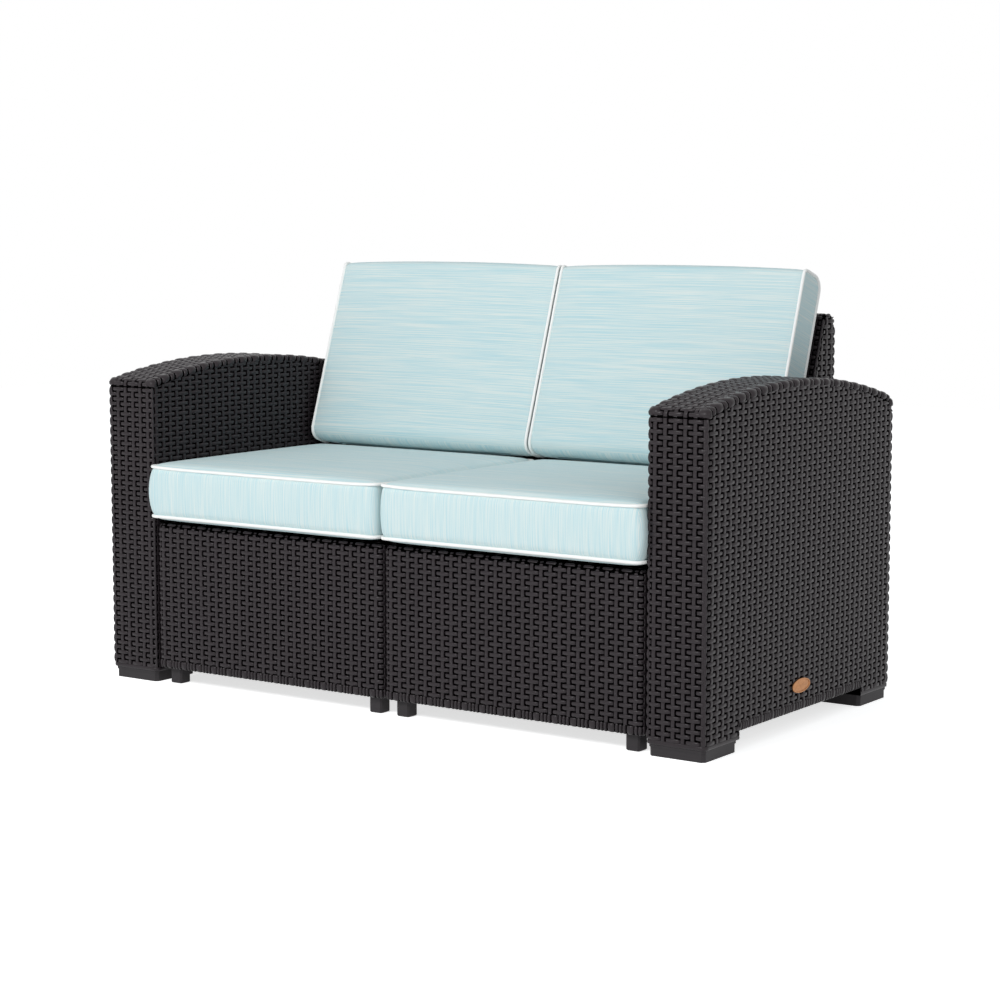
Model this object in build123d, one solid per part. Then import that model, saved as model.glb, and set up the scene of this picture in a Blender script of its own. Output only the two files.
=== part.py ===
from build123d import *
import math
import os

# Two-seat patio sofa of moulded resin wicker with loose boxed cushions.
# It is built from two seat modules that stand side by side between two hollow arms.
# X runs along the sofa, the front faces -Y and Z is up. The origin is on the floor,
# under the middle of the whole sofa. All sizes are in millimetres.

# Whole sofa
arm_width = 119.0
arm_depth = 722.0
arm_crest_height = 654.5
module_width = 577.0
module_height = 334.0
back_height = 759.5
module_gap = 8.0
arm_gap = 10.0
module_rear_setback = 4.0
cushion_overhang = 13.0

# Fits and cuts
slip_fit = 0.4
soft_clearance = 0.4
overrun = 5.0

# Arm housing
arm_wall = 4.0
arm_panel_thickness = 4.0
arm_arch_radius = 1500.0
arm_crest_setback = 323.0
arm_front_top_radius = 9.5
arm_rear_top_radius = 25.0
arm_edge_chamfer = 3.5
arm_belly_height = 38.0
arm_rib_thickness = 3.0
arm_rib_depth = 60.0
arm_rib_shares = (0.26, 0.5, 0.74)
arm_lip_thickness = 3.0
arm_lip_length = 8.0
arm_post_width = 14.0
arm_pin_width = 8.0
arm_pin_length = 22.0
arm_post_edge_distance = 45.0
arm_post_top_distance = 70.0

# Arm cap
cap_depth = 10.0
cap_skin = 3.5
cap_rim = 9.0
cap_lip_length = 6.0
cap_rib_thickness = 3.0
cap_rib_count = 7

# Arm feet
foot_height = 22.5
foot_length = 120.0
foot_inset = 2.5
foot_lip_height = 6.0
foot_lip_inset = 1.0
foot_corner_chamfer = 6.0
foot_plug_margin = 18.0
foot_plug_height = 24.0
foot_rib = 5.0
foot_pocket_depth = 15.0

# Seat module skirt
skirt_wall = 4.0
skirt_clearance = 34.0
skirt_corner_radius = 12.0
skirt_top_chamfer = 7.0
skirt_rim_width = 25.0
skirt_ledge_width = 10.0
skirt_ledge_overlap = 5.0
skirt_ledge_thickness = 4.0
skirt_rib_depth = 8.0
skirt_rib_thickness = 3.0
skirt_side_rib_count = 3
skirt_front_rib_count = 3

# Seat module legs and their sockets
leg_width = 30.0
leg_inset = 14.0
leg_edge_chamfer = 3.5
leg_foot_chamfer = 2.0
leg_plug_width = 24.0
leg_plug_length = 60.0
socket_wall = 4.0
socket_length = 95.0
socket_web_thickness = 3.0

# Seat deck
deck_thickness = 4.0
deck_slot_width = 9.0
deck_slot_length = 118.0
deck_slot_columns = 5
deck_slot_rows = 3
deck_rib_depth = 24.0
deck_rib_thickness = 3.0
deck_rib_clearance = 2.0

# Back rest housing
back_rake_degrees = 18.7
back_top_depth = 41.0
back_wall = 4.0
back_front_top_radius = 8.0
back_rear_top_radius = 15.0
back_edge_chamfer = 3.5
back_rear_depth = 18.0
back_web_thickness = 3.0
back_web_shares = (0.2, 0.5, 0.8)
back_key_shares = (0.33, 0.67)

# Hook keys between arm and seat module, and turn keys between deck and back rest
key_length = 60.0
key_height = 44.0
key_centre_height = 190.0
key_setback = 165.0
key_tongue_length = 26.0
key_tongue_height = 20.0
key_hook_drop = 9.0
key_flange_thickness = 5.0
turn_key_width = 12.0
turn_key_length = 36.0
clip_length = 50.0
clip_thickness = 4.0
clip_prong_height = 36.0
clip_setback = 280.0

# Cushion make-up
wadding_thickness = 8.0
piping_diameter = 5.5
piping_seam_clearance = 0.1
piping_sides = 6
zip_height = 12.0
zip_thickness = 1.2
zip_end_margin = 55.0

# Seat cushion
seat_cushion_inner_gap = 2.0
seat_cushion_arm_gap = 3.0
seat_cushion_rear_gap = 3.0
seat_cushion_corner_radius = 24.0
seat_seam_inset = 5.0
seat_side_bow = 3.0
seat_seam_bow = -2.0
seat_bottom_drop = 10.5
seat_boxing_height = 99.0
seat_crown = 19.0

# Back cushion
back_cushion_inner_gap = 8.0
back_cushion_outer_gap = 9.0
back_cushion_height = 408.0
back_cushion_depth = 69.0
back_rear_crown = 23.0
back_front_crown = 15.0
back_gusset_bow = 2.5
back_top_bow = 9.0
back_bottom_bow = 5.0
back_top_rise = 4.0
back_corner_radius = 16.0

# Cushion forms: points along each bowed side, and how far each loft section is scaled in or has risen
corner_bends = 3
bow_along_shares = (0.25, 0.5, 0.75)
bow_out_shares = (0.75, 1.0, 0.75)
flat_tolerance = 0.000001
crown_scale_shares = (1.0, 0.95, 0.84, 0.62, 0.3)
crown_rise_shares = (0.0, 0.3, 0.62, 0.9, 1.0)
bottom_scale_share = 0.92
core_scale_shares = (1.0, 0.62, 0.3)
core_rise_shares = (0.0, 0.9, 1.0)
back_station_shares = (0.0, 0.06, 0.2, 0.5, 0.8, 0.94, 1.0)
back_bulge_shares = (0.0, 0.4, 0.8, 1.0, 0.8, 0.4, 0.0)
back_core_station_shares = (0.0, 0.5, 1.0)
back_core_bulge_shares = (0.0, 0.9, 0.0)

# Places that follow from the sizes above
half_depth = (arm_depth + cushion_overhang) / 2
cushion_front_y = -half_depth
arm_front_y = cushion_front_y + cushion_overhang
arm_rear_y = half_depth
arm_crest_y = arm_front_y + arm_crest_setback
module_inner_x = module_gap / 2
module_outer_x = module_inner_x + module_width
module_centre_x = module_inner_x + module_width / 2
arm_inner_x = module_outer_x + arm_gap
arm_outer_x = arm_inner_x + arm_width
module_front_y = arm_front_y
module_rear_y = arm_rear_y - module_rear_setback
module_depth = module_rear_y - module_front_y
module_centre_y = (module_front_y + module_rear_y) / 2
key_front_y = arm_front_y + key_setback
key_rear_y = arm_rear_y - key_setback
rake = math.radians(back_rake_degrees)
back_face_top_y = module_rear_y - back_top_depth
lower_seam_z = module_height + soft_clearance + seat_bottom_drop
upper_seam_z = lower_seam_z + seat_boxing_height


def back_face_y(z):
    """Depth of the raked front face of the back rest at a height."""
    return back_face_top_y - (back_height - z) * math.tan(rake)


# The cushions fill the room between the arms, ahead of the back rest
seat_rear_y = back_face_y(module_height) - seat_cushion_rear_gap
seat_cushion_depth = seat_rear_y - cushion_front_y
seat_centre_y = (cushion_front_y + seat_rear_y) / 2
seat_cushion_width = arm_inner_x - seat_cushion_arm_gap - seat_cushion_inner_gap
seat_centre_x = seat_cushion_inner_gap + seat_cushion_width / 2
back_cushion_width = module_outer_x - back_cushion_outer_gap - back_cushion_inner_gap

# The piping lies just outside the edge of its seam
piping_stand_off = (piping_diameter / 2 + piping_seam_clearance) / math.sqrt(2)

# The back cushion stands on the rear seam of the seat cushion, measured along the rake
back_cushion_low = (
    (seat_rear_y + piping_diameter / 2 - back_face_y(module_height)) * math.sin(rake)
    + (upper_seam_z + piping_diameter + soft_clearance - module_height) * math.cos(rake)
)


def block(x_span, y_span, z_span):
    """Box between two values on each axis."""
    size_x = x_span[1] - x_span[0]
    size_y = y_span[1] - y_span[0]
    size_z = z_span[1] - z_span[0]
    centre = ((x_span[0] + x_span[1]) / 2, (y_span[0] + y_span[1]) / 2, (z_span[0] + z_span[1]) / 2)
    return Pos(*centre) * Box(size_x, size_y, size_z)


def span(centre, length):
    """Two ends of a length about its centre."""
    return (centre - length / 2, centre + length / 2)


def grown(ends, margin):
    """Two ends moved apart by a margin each."""
    return (ends[0] - margin, ends[1] + margin)


def evenly(start, end, count):
    """Places that divide a span into count + 1 equal bays."""
    return [start + (end - start) * (step + 1) / (count + 1) for step in range(count)]


# Arm housing: outer shell, inner panel and cap


def arch_height(y, drop):
    """Height of the arm's arch at a depth, lowered towards its centre by drop."""
    run = y - arm_crest_y
    return arm_crest_height - arm_arch_radius + math.sqrt((arm_arch_radius - drop) ** 2 - run**2)


def arm_side(x, inset, drop):
    """Side outline of the arm at x, drawn in by inset and with its arch lowered by drop."""
    front = arm_front_y + inset
    rear = arm_rear_y - inset
    front_step = arm_front_y + foot_length - inset
    rear_step = arm_rear_y - foot_length + inset
    floor = foot_height + inset
    belly = arm_belly_height + inset
    front_top = (front, arch_height(front, drop))
    crest = (arm_crest_y, arch_height(arm_crest_y, drop))
    rear_top = (rear, arch_height(rear, drop))
    with BuildSketch(Plane.YZ.offset(x)) as side:
        with BuildLine():
            Polyline(
                rear_top, (rear, floor), (rear_step, floor), (rear_step, belly),
                (front_step, belly), (front_step, floor), (front, floor), front_top,
            )
            ThreePointArc(front_top, crest, rear_top)
        make_face()
    return side.sketch


def arm_blank():
    """Whole outer form of the right arm above its feet, with its corners rounded and edges eased."""
    blank = extrude(arm_side(arm_inner_x, 0, 0), arm_width)
    across = blank.edges().filter_by(Axis.X)
    top_height = (arm_belly_height + arm_crest_height) / 2
    top_corners = [edge for edge in across if edge.center().Z > top_height]
    front_corner = min(top_corners, key=lambda edge: edge.center().Y)
    blank = fillet(front_corner, arm_front_top_radius)
    across = blank.edges().filter_by(Axis.X)
    rear_corners = [
        edge for edge in across
        if edge.center().Z > top_height and edge.center().Y > arm_rear_y - arm_front_top_radius
    ]
    blank = fillet(max(rear_corners, key=lambda edge: edge.center().Z), arm_rear_top_radius)
    side_faces = [blank.faces().sort_by(Axis.X)[0], blank.faces().sort_by(Axis.X)[-1]]
    rounded = []
    for face in side_faces:
        for edge in face.edges():
            edge_y = edge.center().Y
            upright = min(abs(edge_y - arm_front_y), abs(edge_y - arm_rear_y)) < overrun
            if edge.center().Z > top_height or upright:
                rounded.append(edge)
    return chamfer(rounded, arm_edge_chamfer)


def below_arch(drop):
    """Everything at the right arm that lies under the arch lowered by drop."""
    front = arm_front_y - overrun
    rear = arm_rear_y + overrun
    front_top = (front, arch_height(front, drop))
    crest = (arm_crest_y, arch_height(arm_crest_y, drop))
    rear_top = (rear, arch_height(rear, drop))
    with BuildSketch(Plane.YZ.offset(arm_inner_x - overrun)) as side:
        with BuildLine():
            Polyline(rear_top, (rear, -overrun), (front, -overrun), front_top)
            ThreePointArc(front_top, crest, rear_top)
        make_face()
    return extrude(side.sketch, arm_width + overrun + overrun)


def arm_ring(x_span, inset, thickness, drop):
    """Thin upright lip that follows the arm's side outline."""
    length = x_span[1] - x_span[0]
    outer = extrude(arm_side(x_span[0], inset, drop), length)
    inner_side = arm_side(x_span[0] - overrun, inset + thickness, drop + thickness)
    inner = extrude(inner_side, length + overrun + overrun)
    return outer - inner


def arm_post_places():
    """Depth and height of each post that joins the arm's outer shell to its inner panel."""
    front = arm_front_y + arm_post_edge_distance
    rear = arm_rear_y - arm_post_edge_distance
    low = arm_belly_height + arm_post_edge_distance
    return [
        (front, low), (rear, low),
        (front, arch_height(front, arm_post_top_distance)),
        (rear, arch_height(rear, arm_post_top_distance)),
    ]


def key_places():
    """Depths at which an arm hooks on to its seat module."""
    return [key_front_y, key_rear_y]


def key_tongue(y):
    """Y and Z spans of the tongue of a hook key."""
    return span(y, key_tongue_length), span(key_centre_height, key_tongue_height)


def key_hook(y, towards_arm):
    """Y and Z spans of the hook on a key: up behind the arm's panel, down behind the skirt."""
    across, up = key_tongue(y)
    if towards_arm:
        return across, (up[0], up[1] + key_hook_drop)
    return across, (up[0] - key_hook_drop, up[1])


def key_slot(y, towards_arm):
    """Y and Z spans of the slot that lets the hook through before the key drops home."""
    across, up = key_tongue(y)
    if towards_arm:
        return grown(across, slip_fit), grown((up[0] - key_hook_drop, up[1]), slip_fit)
    return grown(across, slip_fit), grown((up[0], up[1] + key_hook_drop), slip_fit)


def foot_plug_span():
    """X span of the plug of a foot inside the arm."""
    return (arm_inner_x + foot_plug_margin, arm_outer_x - foot_plug_margin)


def foot_y_span(front):
    """Y span of the arm's front or rear woven corner block."""
    if front:
        return (arm_front_y, arm_front_y + foot_length)
    return (arm_rear_y - foot_length, arm_rear_y)


def arm_cavity(start_x):
    """Hollow of the arm, from an upright plane to the inside of its outer wall."""
    cavity = extrude(arm_side(start_x, arm_wall, arm_wall), arm_outer_x - arm_wall - start_x)
    top_height = (arm_belly_height + arm_crest_height) / 2
    corners = [edge for edge in cavity.edges().filter_by(Axis.X) if edge.center().Z > top_height]
    rear_corner = max(corners, key=lambda edge: edge.center().Y)
    return fillet(rear_corner, arm_rear_top_radius - arm_wall)


def ahead_of_rear_corner():
    """Everything at the right arm that lies in front of its rounded rear top corner."""
    return block(
        (arm_inner_x - overrun, arm_outer_x + overrun),
        (arm_front_y - overrun, arm_rear_y - arm_rear_top_radius),
        (-overrun, arm_crest_height + overrun),
    )


def arm_outer_shell(blank):
    """Outer side, front, rear and floor of the arm in one moulding, open to the inner side."""
    inner_plane = arm_inner_x + arm_panel_thickness
    shell = blank & below_arch(cap_depth)
    behind_panel = block(
        (arm_inner_x - overrun, inner_plane), (arm_front_y - overrun, arm_rear_y + overrun),
        (-overrun, arm_crest_height + overrun),
    )
    shell -= behind_panel
    shell -= arm_cavity(inner_plane - overrun)
    inside_x = arm_outer_x - arm_wall
    for share in arm_rib_shares:
        y = arm_front_y + arm_depth * share
        rib_top = arch_height(y, cap_depth + cap_lip_length + arm_wall)
        shell += block(
            (inside_x - arm_rib_depth, inside_x), (y - arm_rib_thickness / 2, y + arm_rib_thickness / 2),
            (arm_belly_height + arm_wall, rib_top),
        )
    post_start = inner_plane + arm_lip_length
    for y, z in arm_post_places():
        shell += block((post_start, inside_x), span(y, arm_post_width), span(z, arm_post_width))
        socket = arm_pin_width + slip_fit + slip_fit
        socket_end = inner_plane + arm_pin_length + slip_fit
        shell -= block((post_start - overrun, socket_end), span(y, socket), span(z, socket))
    for front in (True, False):
        y_span = foot_y_span(front)
        plug_x = foot_plug_span()
        shell -= block(
            (plug_x[0] - slip_fit, plug_x[1] + slip_fit),
            (y_span[0] + foot_plug_margin - slip_fit, y_span[1] - foot_plug_margin + slip_fit),
            (foot_height - overrun, foot_height + arm_wall + overrun),
        )
    return shell


def arm_inner_panel(blank):
    """Inner side of the arm, a flat moulding with a locating lip and pins for the posts."""
    inner_plane = arm_inner_x + arm_panel_thickness
    slab = block(
        (arm_inner_x - overrun, inner_plane), (arm_front_y - overrun, arm_rear_y + overrun),
        (-overrun, arm_crest_height + overrun),
    )
    panel = blank & below_arch(cap_depth) & slab
    lip_span = (inner_plane, inner_plane + arm_lip_length - slip_fit)
    panel += arm_ring(lip_span, arm_wall + slip_fit, arm_lip_thickness, arm_rear_top_radius)
    for y, z in arm_post_places():
        pin_x = (inner_plane, inner_plane + arm_pin_length)
        panel += block(pin_x, span(y, arm_pin_width), span(z, arm_pin_width))
    for y in key_places():
        across, up = key_slot(y, True)
        panel -= block((arm_inner_x - overrun, inner_plane + overrun), across, up)
    return panel


def arm_cap(blank):
    """Arched top of the arm, ribbed underneath, with a lip that drops inside the shell."""
    cap = blank - below_arch(cap_depth)
    pocket_x = arm_inner_x + cap_rim
    pocket_width = arm_width - cap_rim - cap_rim
    pocket = extrude(arm_side(pocket_x, cap_rim, cap_skin), pocket_width) & ahead_of_rear_corner()
    cap -= pocket - below_arch(cap_depth + overrun)
    for y in evenly(arm_front_y + cap_rim, arm_rear_y - cap_rim, cap_rib_count):
        rib = block(
            (pocket_x, pocket_x + pocket_width), (y - cap_rib_thickness / 2, y + cap_rib_thickness / 2),
            (arch_height(y, cap_depth) - overrun, arm_crest_height + overrun),
        )
        band = pocket - below_arch(cap_depth)
        cap += rib & band
    lip_x = arm_inner_x + arm_wall + slip_fit
    lip_width = arm_width - arm_wall - arm_wall - slip_fit - slip_fit
    lip_inset = arm_wall + slip_fit
    lip_outer = extrude(arm_side(lip_x, lip_inset, cap_depth), lip_width)
    lip_inner = extrude(
        arm_side(lip_x + arm_lip_thickness, lip_inset + arm_lip_thickness, -overrun),
        lip_width - arm_lip_thickness - arm_lip_thickness,
    )
    lip = (lip_outer - lip_inner) - below_arch(cap_depth + cap_lip_length)
    return cap + (lip & ahead_of_rear_corner())


def cut_corner_outline(x, y, z, width, length, cut):
    """Rectangle about a point with its corners cut off."""
    outline = Rectangle(width, length)
    return Plane(origin=(x, y, z)) * chamfer(outline.vertices(), cut)


def arm_foot(front):
    """Black foot under one end of the arm: lip, body with cored underside, and plug."""
    y_span = foot_y_span(front)
    centre_y = (y_span[0] + y_span[1]) / 2
    centre_x = (arm_inner_x + arm_outer_x) / 2
    body_width = arm_width - foot_inset - foot_inset
    body_length = foot_length - foot_inset - foot_inset
    lip_width = arm_width - foot_lip_inset - foot_lip_inset
    lip_length = foot_length - foot_lip_inset - foot_lip_inset
    lip_floor = foot_height - foot_lip_height
    body = extrude(
        cut_corner_outline(centre_x, centre_y, 0, body_width, body_length, foot_corner_chamfer), lip_floor,
    )
    lip = extrude(
        cut_corner_outline(centre_x, centre_y, lip_floor, lip_width, lip_length, foot_corner_chamfer),
        foot_lip_height,
    )
    foot = body + lip
    plug_x = foot_plug_span()
    plug_y = (y_span[0] + foot_plug_margin, y_span[1] - foot_plug_margin)
    foot += block(plug_x, plug_y, (foot_height, foot_height + foot_plug_height))
    for x_side in (-1, 1):
        for y_side in (-1, 1):
            x_near = centre_x + x_side * foot_rib / 2
            x_far = centre_x + x_side * (body_width / 2 - foot_rib)
            y_near = centre_y + y_side * foot_rib / 2
            y_far = centre_y + y_side * (body_length / 2 - foot_rib)
            foot -= block(sorted((x_near, x_far)), sorted((y_near, y_far)), (-overrun, foot_pocket_depth))
    return foot


# Seat module: skirt, deck, legs


def module_outline(inset, z):
    """Plan outline of the right seat module, drawn in by inset."""
    width = module_width - inset - inset
    depth = module_depth - inset - inset
    plane = Plane(origin=(module_centre_x, module_centre_y, z))
    return plane * RectangleRounded(width, depth, max(skirt_corner_radius - inset, skirt_wall / 2))


def module_opening(inset, z):
    """Square-cornered plan opening of the right seat module, drawn in by inset."""
    width = module_width - inset - inset
    depth = module_depth - inset - inset
    return Plane(origin=(module_centre_x, module_centre_y, z)) * Rectangle(width, depth)


def leg_places():
    """Centres of the module's four legs."""
    reach = leg_inset + leg_width / 2
    xs = (module_inner_x + reach, module_outer_x - reach)
    ys = (module_front_y + reach, module_rear_y - reach)
    return [(x, y) for x in xs for y in ys]


def skirt():
    """Woven-look box without top or bottom: walls, rolled rim, deck ledge, ribs and leg sockets."""
    walls = extrude(module_outline(0, skirt_clearance), module_height - skirt_clearance)
    walls = chamfer(walls.faces().sort_by(Axis.Z)[-1].edges(), skirt_top_chamfer)
    cavity_top = module_height - deck_thickness
    hollow_outline = module_outline(skirt_wall, skirt_clearance - overrun)
    walls -= extrude(hollow_outline, cavity_top - skirt_clearance + overrun)
    rim_opening = module_opening(skirt_rim_width, cavity_top - overrun)
    walls -= extrude(rim_opening, deck_thickness + overrun + overrun)
    ledge_outer = skirt_rim_width - skirt_ledge_overlap
    ledge_floor = cavity_top - skirt_ledge_thickness
    ledge = extrude(module_opening(ledge_outer, ledge_floor), skirt_ledge_thickness)
    ledge -= extrude(
        module_opening(skirt_rim_width + skirt_ledge_width, ledge_floor - overrun),
        skirt_ledge_thickness + overrun + overrun,
    )
    body = walls + ledge
    body += skirt_ribs(ledge_floor)
    body += leg_sockets()
    for x, y in leg_places():
        plug = leg_plug_width + slip_fit
        hole = Plane(origin=(x, y, skirt_clearance - overrun)) * Rectangle(plug, plug)
        body -= extrude(hole, socket_length + overrun - socket_wall)
    for y in key_places():
        across, up = key_slot(y, False)
        body -= block((module_outer_x - skirt_wall - overrun, module_outer_x + overrun), across, up)
    return body


def skirt_ribs(top):
    """Upright stiffening ribs inside the four skirt walls."""
    ribs = []
    inner = skirt_wall
    reach = leg_inset + leg_width + socket_wall
    half = skirt_rib_thickness / 2
    z_span = (skirt_clearance, top)
    for y in evenly(module_front_y + reach, module_rear_y - reach, skirt_side_rib_count):
        near_key = min(abs(y - place) for place in key_places()) < key_tongue_length
        for wall_x, sign in ((module_inner_x + inner, 1), (module_outer_x - inner, -1)):
            if near_key and sign < 0:
                continue
            x_span = sorted((wall_x, wall_x + sign * skirt_rib_depth))
            ribs.append(block(x_span, (y - half, y + half), z_span))
    for x in evenly(module_inner_x + reach, module_outer_x - reach, skirt_front_rib_count):
        for wall_y, sign in ((module_front_y + inner, 1), (module_rear_y - inner, -1)):
            y_span = sorted((wall_y, wall_y + sign * skirt_rib_depth))
            ribs.append(block((x - half, x + half), y_span, z_span))
    return ribs


def leg_sockets():
    """Square sockets for the legs, tied to the nearest two walls by webs."""
    pieces = []
    outer = leg_plug_width + slip_fit + socket_wall + socket_wall
    z_span = (skirt_clearance, skirt_clearance + socket_length)
    half_web = socket_web_thickness / 2
    for x, y in leg_places():
        pieces.append(extrude(Plane(origin=(x, y, z_span[0])) * Rectangle(outer, outer), socket_length))
        x_wall = module_inner_x + skirt_wall / 2 if x < module_centre_x else module_outer_x - skirt_wall / 2
        y_wall = module_front_y + skirt_wall / 2 if y < module_centre_y else module_rear_y - skirt_wall / 2
        x_side = 1 if x_wall > x else -1
        y_side = 1 if y_wall > y else -1
        for sign in (-1, 1):
            web_y = y + sign * (outer / 2 - half_web)
            web_x = x + sign * (outer / 2 - half_web)
            x_run = sorted((x + x_side * (outer / 2 - socket_wall / 2), x_wall))
            y_run = sorted((y + y_side * (outer / 2 - socket_wall / 2), y_wall))
            pieces.append(block(x_run, (web_y - half_web, web_y + half_web), z_span))
            pieces.append(block((web_x - half_web, web_x + half_web), y_run, z_span))
    return pieces


def deck():
    """Slotted seat panel that drops into the skirt's rim, with a grid of ribs under it."""
    inset = skirt_rim_width + slip_fit
    floor = module_height - deck_thickness
    plate = extrude(module_opening(inset, floor), deck_thickness)
    field_x = (module_inner_x + inset + skirt_ledge_width, module_outer_x - inset - skirt_ledge_width)
    field_y = (module_front_y + inset + skirt_ledge_width, back_face_y(module_height))
    pitch_x = (field_x[1] - field_x[0]) / deck_slot_columns
    pitch_y = (field_y[1] - field_y[0]) / deck_slot_rows
    rib_floor = floor - deck_rib_depth
    rib_inset = skirt_rim_width + skirt_ledge_width + deck_rib_clearance
    rib_x = (module_inner_x + rib_inset, module_outer_x - rib_inset)
    rib_y = (module_front_y + rib_inset, module_rear_y - rib_inset)
    half_rib = deck_rib_thickness / 2
    ribs = []
    for column in range(deck_slot_columns + 1):
        x = min(max(field_x[0] + pitch_x * column, rib_x[0] + half_rib), rib_x[1] - half_rib)
        ribs.append(block((x - half_rib, x + half_rib), rib_y, (rib_floor, floor)))
    for row in range(1, deck_slot_rows + 1):
        y = field_y[0] + pitch_y * row
        ribs.append(block(rib_x, (y - half_rib, y + half_rib), (rib_floor, floor)))
    plate += ribs
    slots = []
    for column in range(deck_slot_columns):
        for row in range(deck_slot_rows):
            x = field_x[0] + pitch_x * (column + 1 / 2)
            y = field_y[0] + pitch_y * (row + 1 / 2)
            slots.append(block(
                (x - deck_slot_width / 2, x + deck_slot_width / 2),
                (y - deck_slot_length / 2, y + deck_slot_length / 2),
                (floor - overrun, module_height + overrun),
            ))
    plate -= slots
    for x, y in back_key_places():
        plate -= turn_key_slot(x, y, (floor - overrun, module_height + overrun))
    return plate


def legs():
    """Four square legs with rounded corners and a plug that stands in the skirt's socket."""
    pieces = []
    for x, y in leg_places():
        foot = extrude(cut_corner_outline(x, y, 0, leg_width, leg_width, leg_edge_chamfer), skirt_clearance)
        foot = chamfer(foot.faces().sort_by(Axis.Z)[0].edges(), leg_foot_chamfer)
        plug = Plane(origin=(x, y, skirt_clearance)) * Rectangle(leg_plug_width, leg_plug_width)
        pieces.append(foot + extrude(plug, leg_plug_length))
    return Compound(pieces)


# Back rest housing


def back_side(inset):
    """Side outline of the wedge-shaped back rest, drawn in by inset."""
    drawn_in = inset / math.cos(rake)
    floor = module_height + inset
    top = back_height - inset
    rear = module_rear_y - inset
    front_low = (back_face_y(floor) + drawn_in, floor)
    front_high = (back_face_y(top) + drawn_in, top)
    plane = Plane.YZ.offset(module_inner_x + inset)
    return plane * make_face(Polyline(front_low, front_high, (rear, top), (rear, floor), close=True))


def back_blank():
    """Whole outer form of the right back rest with its corners rounded."""
    blank = extrude(back_side(0), module_width)
    middle = (module_height + back_height) / 2
    top_edges = [edge for edge in blank.edges().filter_by(Axis.X) if edge.center().Z > middle]
    top_edges.sort(key=lambda edge: edge.center().Y)
    blank = fillet(top_edges[-1], back_rear_top_radius)
    top_edges = [edge for edge in blank.edges().filter_by(Axis.X) if edge.center().Z > middle]
    top_edges.sort(key=lambda edge: edge.center().Y)
    blank = fillet(top_edges[0], back_front_top_radius)
    rounded = []
    for face in (blank.faces().sort_by(Axis.X)[0], blank.faces().sort_by(Axis.X)[-1]):
        rounded += [edge for edge in face.edges() if edge.center().Z > module_height + overrun]
    return chamfer(rounded, back_edge_chamfer)


def back_parting(front):
    """Space in front of, or behind, the upright plane where the two back mouldings meet."""
    parting_y = module_rear_y - back_rear_depth
    x_span = (module_inner_x - overrun, module_outer_x + overrun)
    z_span = (module_height - overrun, back_height + overrun)
    if front:
        return block(x_span, (back_face_y(module_height) - overrun, parting_y), z_span)
    return block(x_span, (parting_y, module_rear_y + overrun), z_span)


def back_key_places():
    """Places of the turn keys that hold the back rest down on the deck."""
    y = (back_face_y(module_height) + module_rear_y - back_rear_depth) / 2
    return [(module_inner_x + module_width * share, y) for share in back_key_shares]


def turn_key_slot(x, y, z_span):
    """Slot that lets a turn key through before it is turned a quarter turn."""
    width = turn_key_width + slip_fit + slip_fit
    length = turn_key_length + slip_fit + slip_fit
    return block(span(x, width), span(y, length), z_span)


def back_front_shell(blank, hollow):
    """Raked front, top, floor and sides of the back rest, stiffened by upright webs."""
    shell = (blank & back_parting(True)) - hollow
    core = extrude(back_side(back_wall / 2), module_width - back_wall) & back_parting(True)
    for share in back_web_shares:
        x = module_inner_x + module_width * share
        x_span = (x - back_web_thickness / 2, x + back_web_thickness / 2)
        y_span = (back_face_y(module_height) - overrun, module_rear_y)
        shell += core & block(x_span, y_span, (module_height, back_height))
    for x, y in back_key_places():
        shell -= turn_key_slot(x, y, (module_height - overrun, module_height + back_wall + overrun))
    return shell


def back_rear_shell(blank, hollow):
    """Upright rear of the back rest, a shallow tray that closes the front moulding."""
    return (blank & back_parting(False)) - hollow


# Keys and clips that hold the pieces together


def arm_keys():
    """Hook keys: a spacer that fills the gap beside the arm, with a hooked tongue on each side."""
    pieces = []
    skirt_inside = module_outer_x - skirt_wall - slip_fit
    panel_inside = arm_inner_x + arm_panel_thickness + slip_fit
    for y in key_places():
        across, up = key_tongue(y)
        key = block((module_outer_x, arm_inner_x), span(y, key_length), span(key_centre_height, key_height))
        key += block((skirt_inside, panel_inside), across, up)
        hook_across, hook_up = key_hook(y, False)
        key += block((skirt_inside - key_flange_thickness, skirt_inside), hook_across, hook_up)
        hook_across, hook_up = key_hook(y, True)
        key += block((panel_inside, panel_inside + key_flange_thickness), hook_across, hook_up)
        pieces.append(key)
    return Compound(pieces)


def module_clips():
    """Channel clips pushed up over the two neighbouring skirt walls."""
    pieces = []
    reach = module_inner_x + skirt_wall + slip_fit
    for y in (module_front_y + clip_setback, module_rear_y - clip_setback):
        y_span = (y - clip_length / 2, y + clip_length / 2)
        clip = block(
            (-reach - clip_thickness, reach + clip_thickness), y_span,
            (skirt_clearance - clip_thickness, skirt_clearance),
        )
        for sign in (-1, 1):
            prong_x = sorted((sign * reach, sign * (reach + clip_thickness)))
            clip += block(prong_x, y_span, (skirt_clearance, skirt_clearance + clip_prong_height))
        tongue_half = module_inner_x - slip_fit
        tongue_z = (skirt_clearance, skirt_clearance + clip_prong_height)
        clip += block((-tongue_half, tongue_half), y_span, tongue_z)
        pieces.append(clip)
    return Compound(pieces)


def back_keys():
    """Turn keys through the deck and the floor of the back rest, shown turned home."""
    pieces = []
    under = module_height - deck_thickness - slip_fit
    over = module_height + back_wall + slip_fit
    for x, y in back_key_places():
        across = span(y, turn_key_width)
        key = block(span(x, turn_key_width), across, (under, over))
        key += block(span(x, turn_key_length), across, (under - key_flange_thickness, under))
        key += block(span(x, turn_key_length), across, (over, over + key_flange_thickness))
        pieces.append(key)
    return Compound(pieces)


# Cushions


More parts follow.
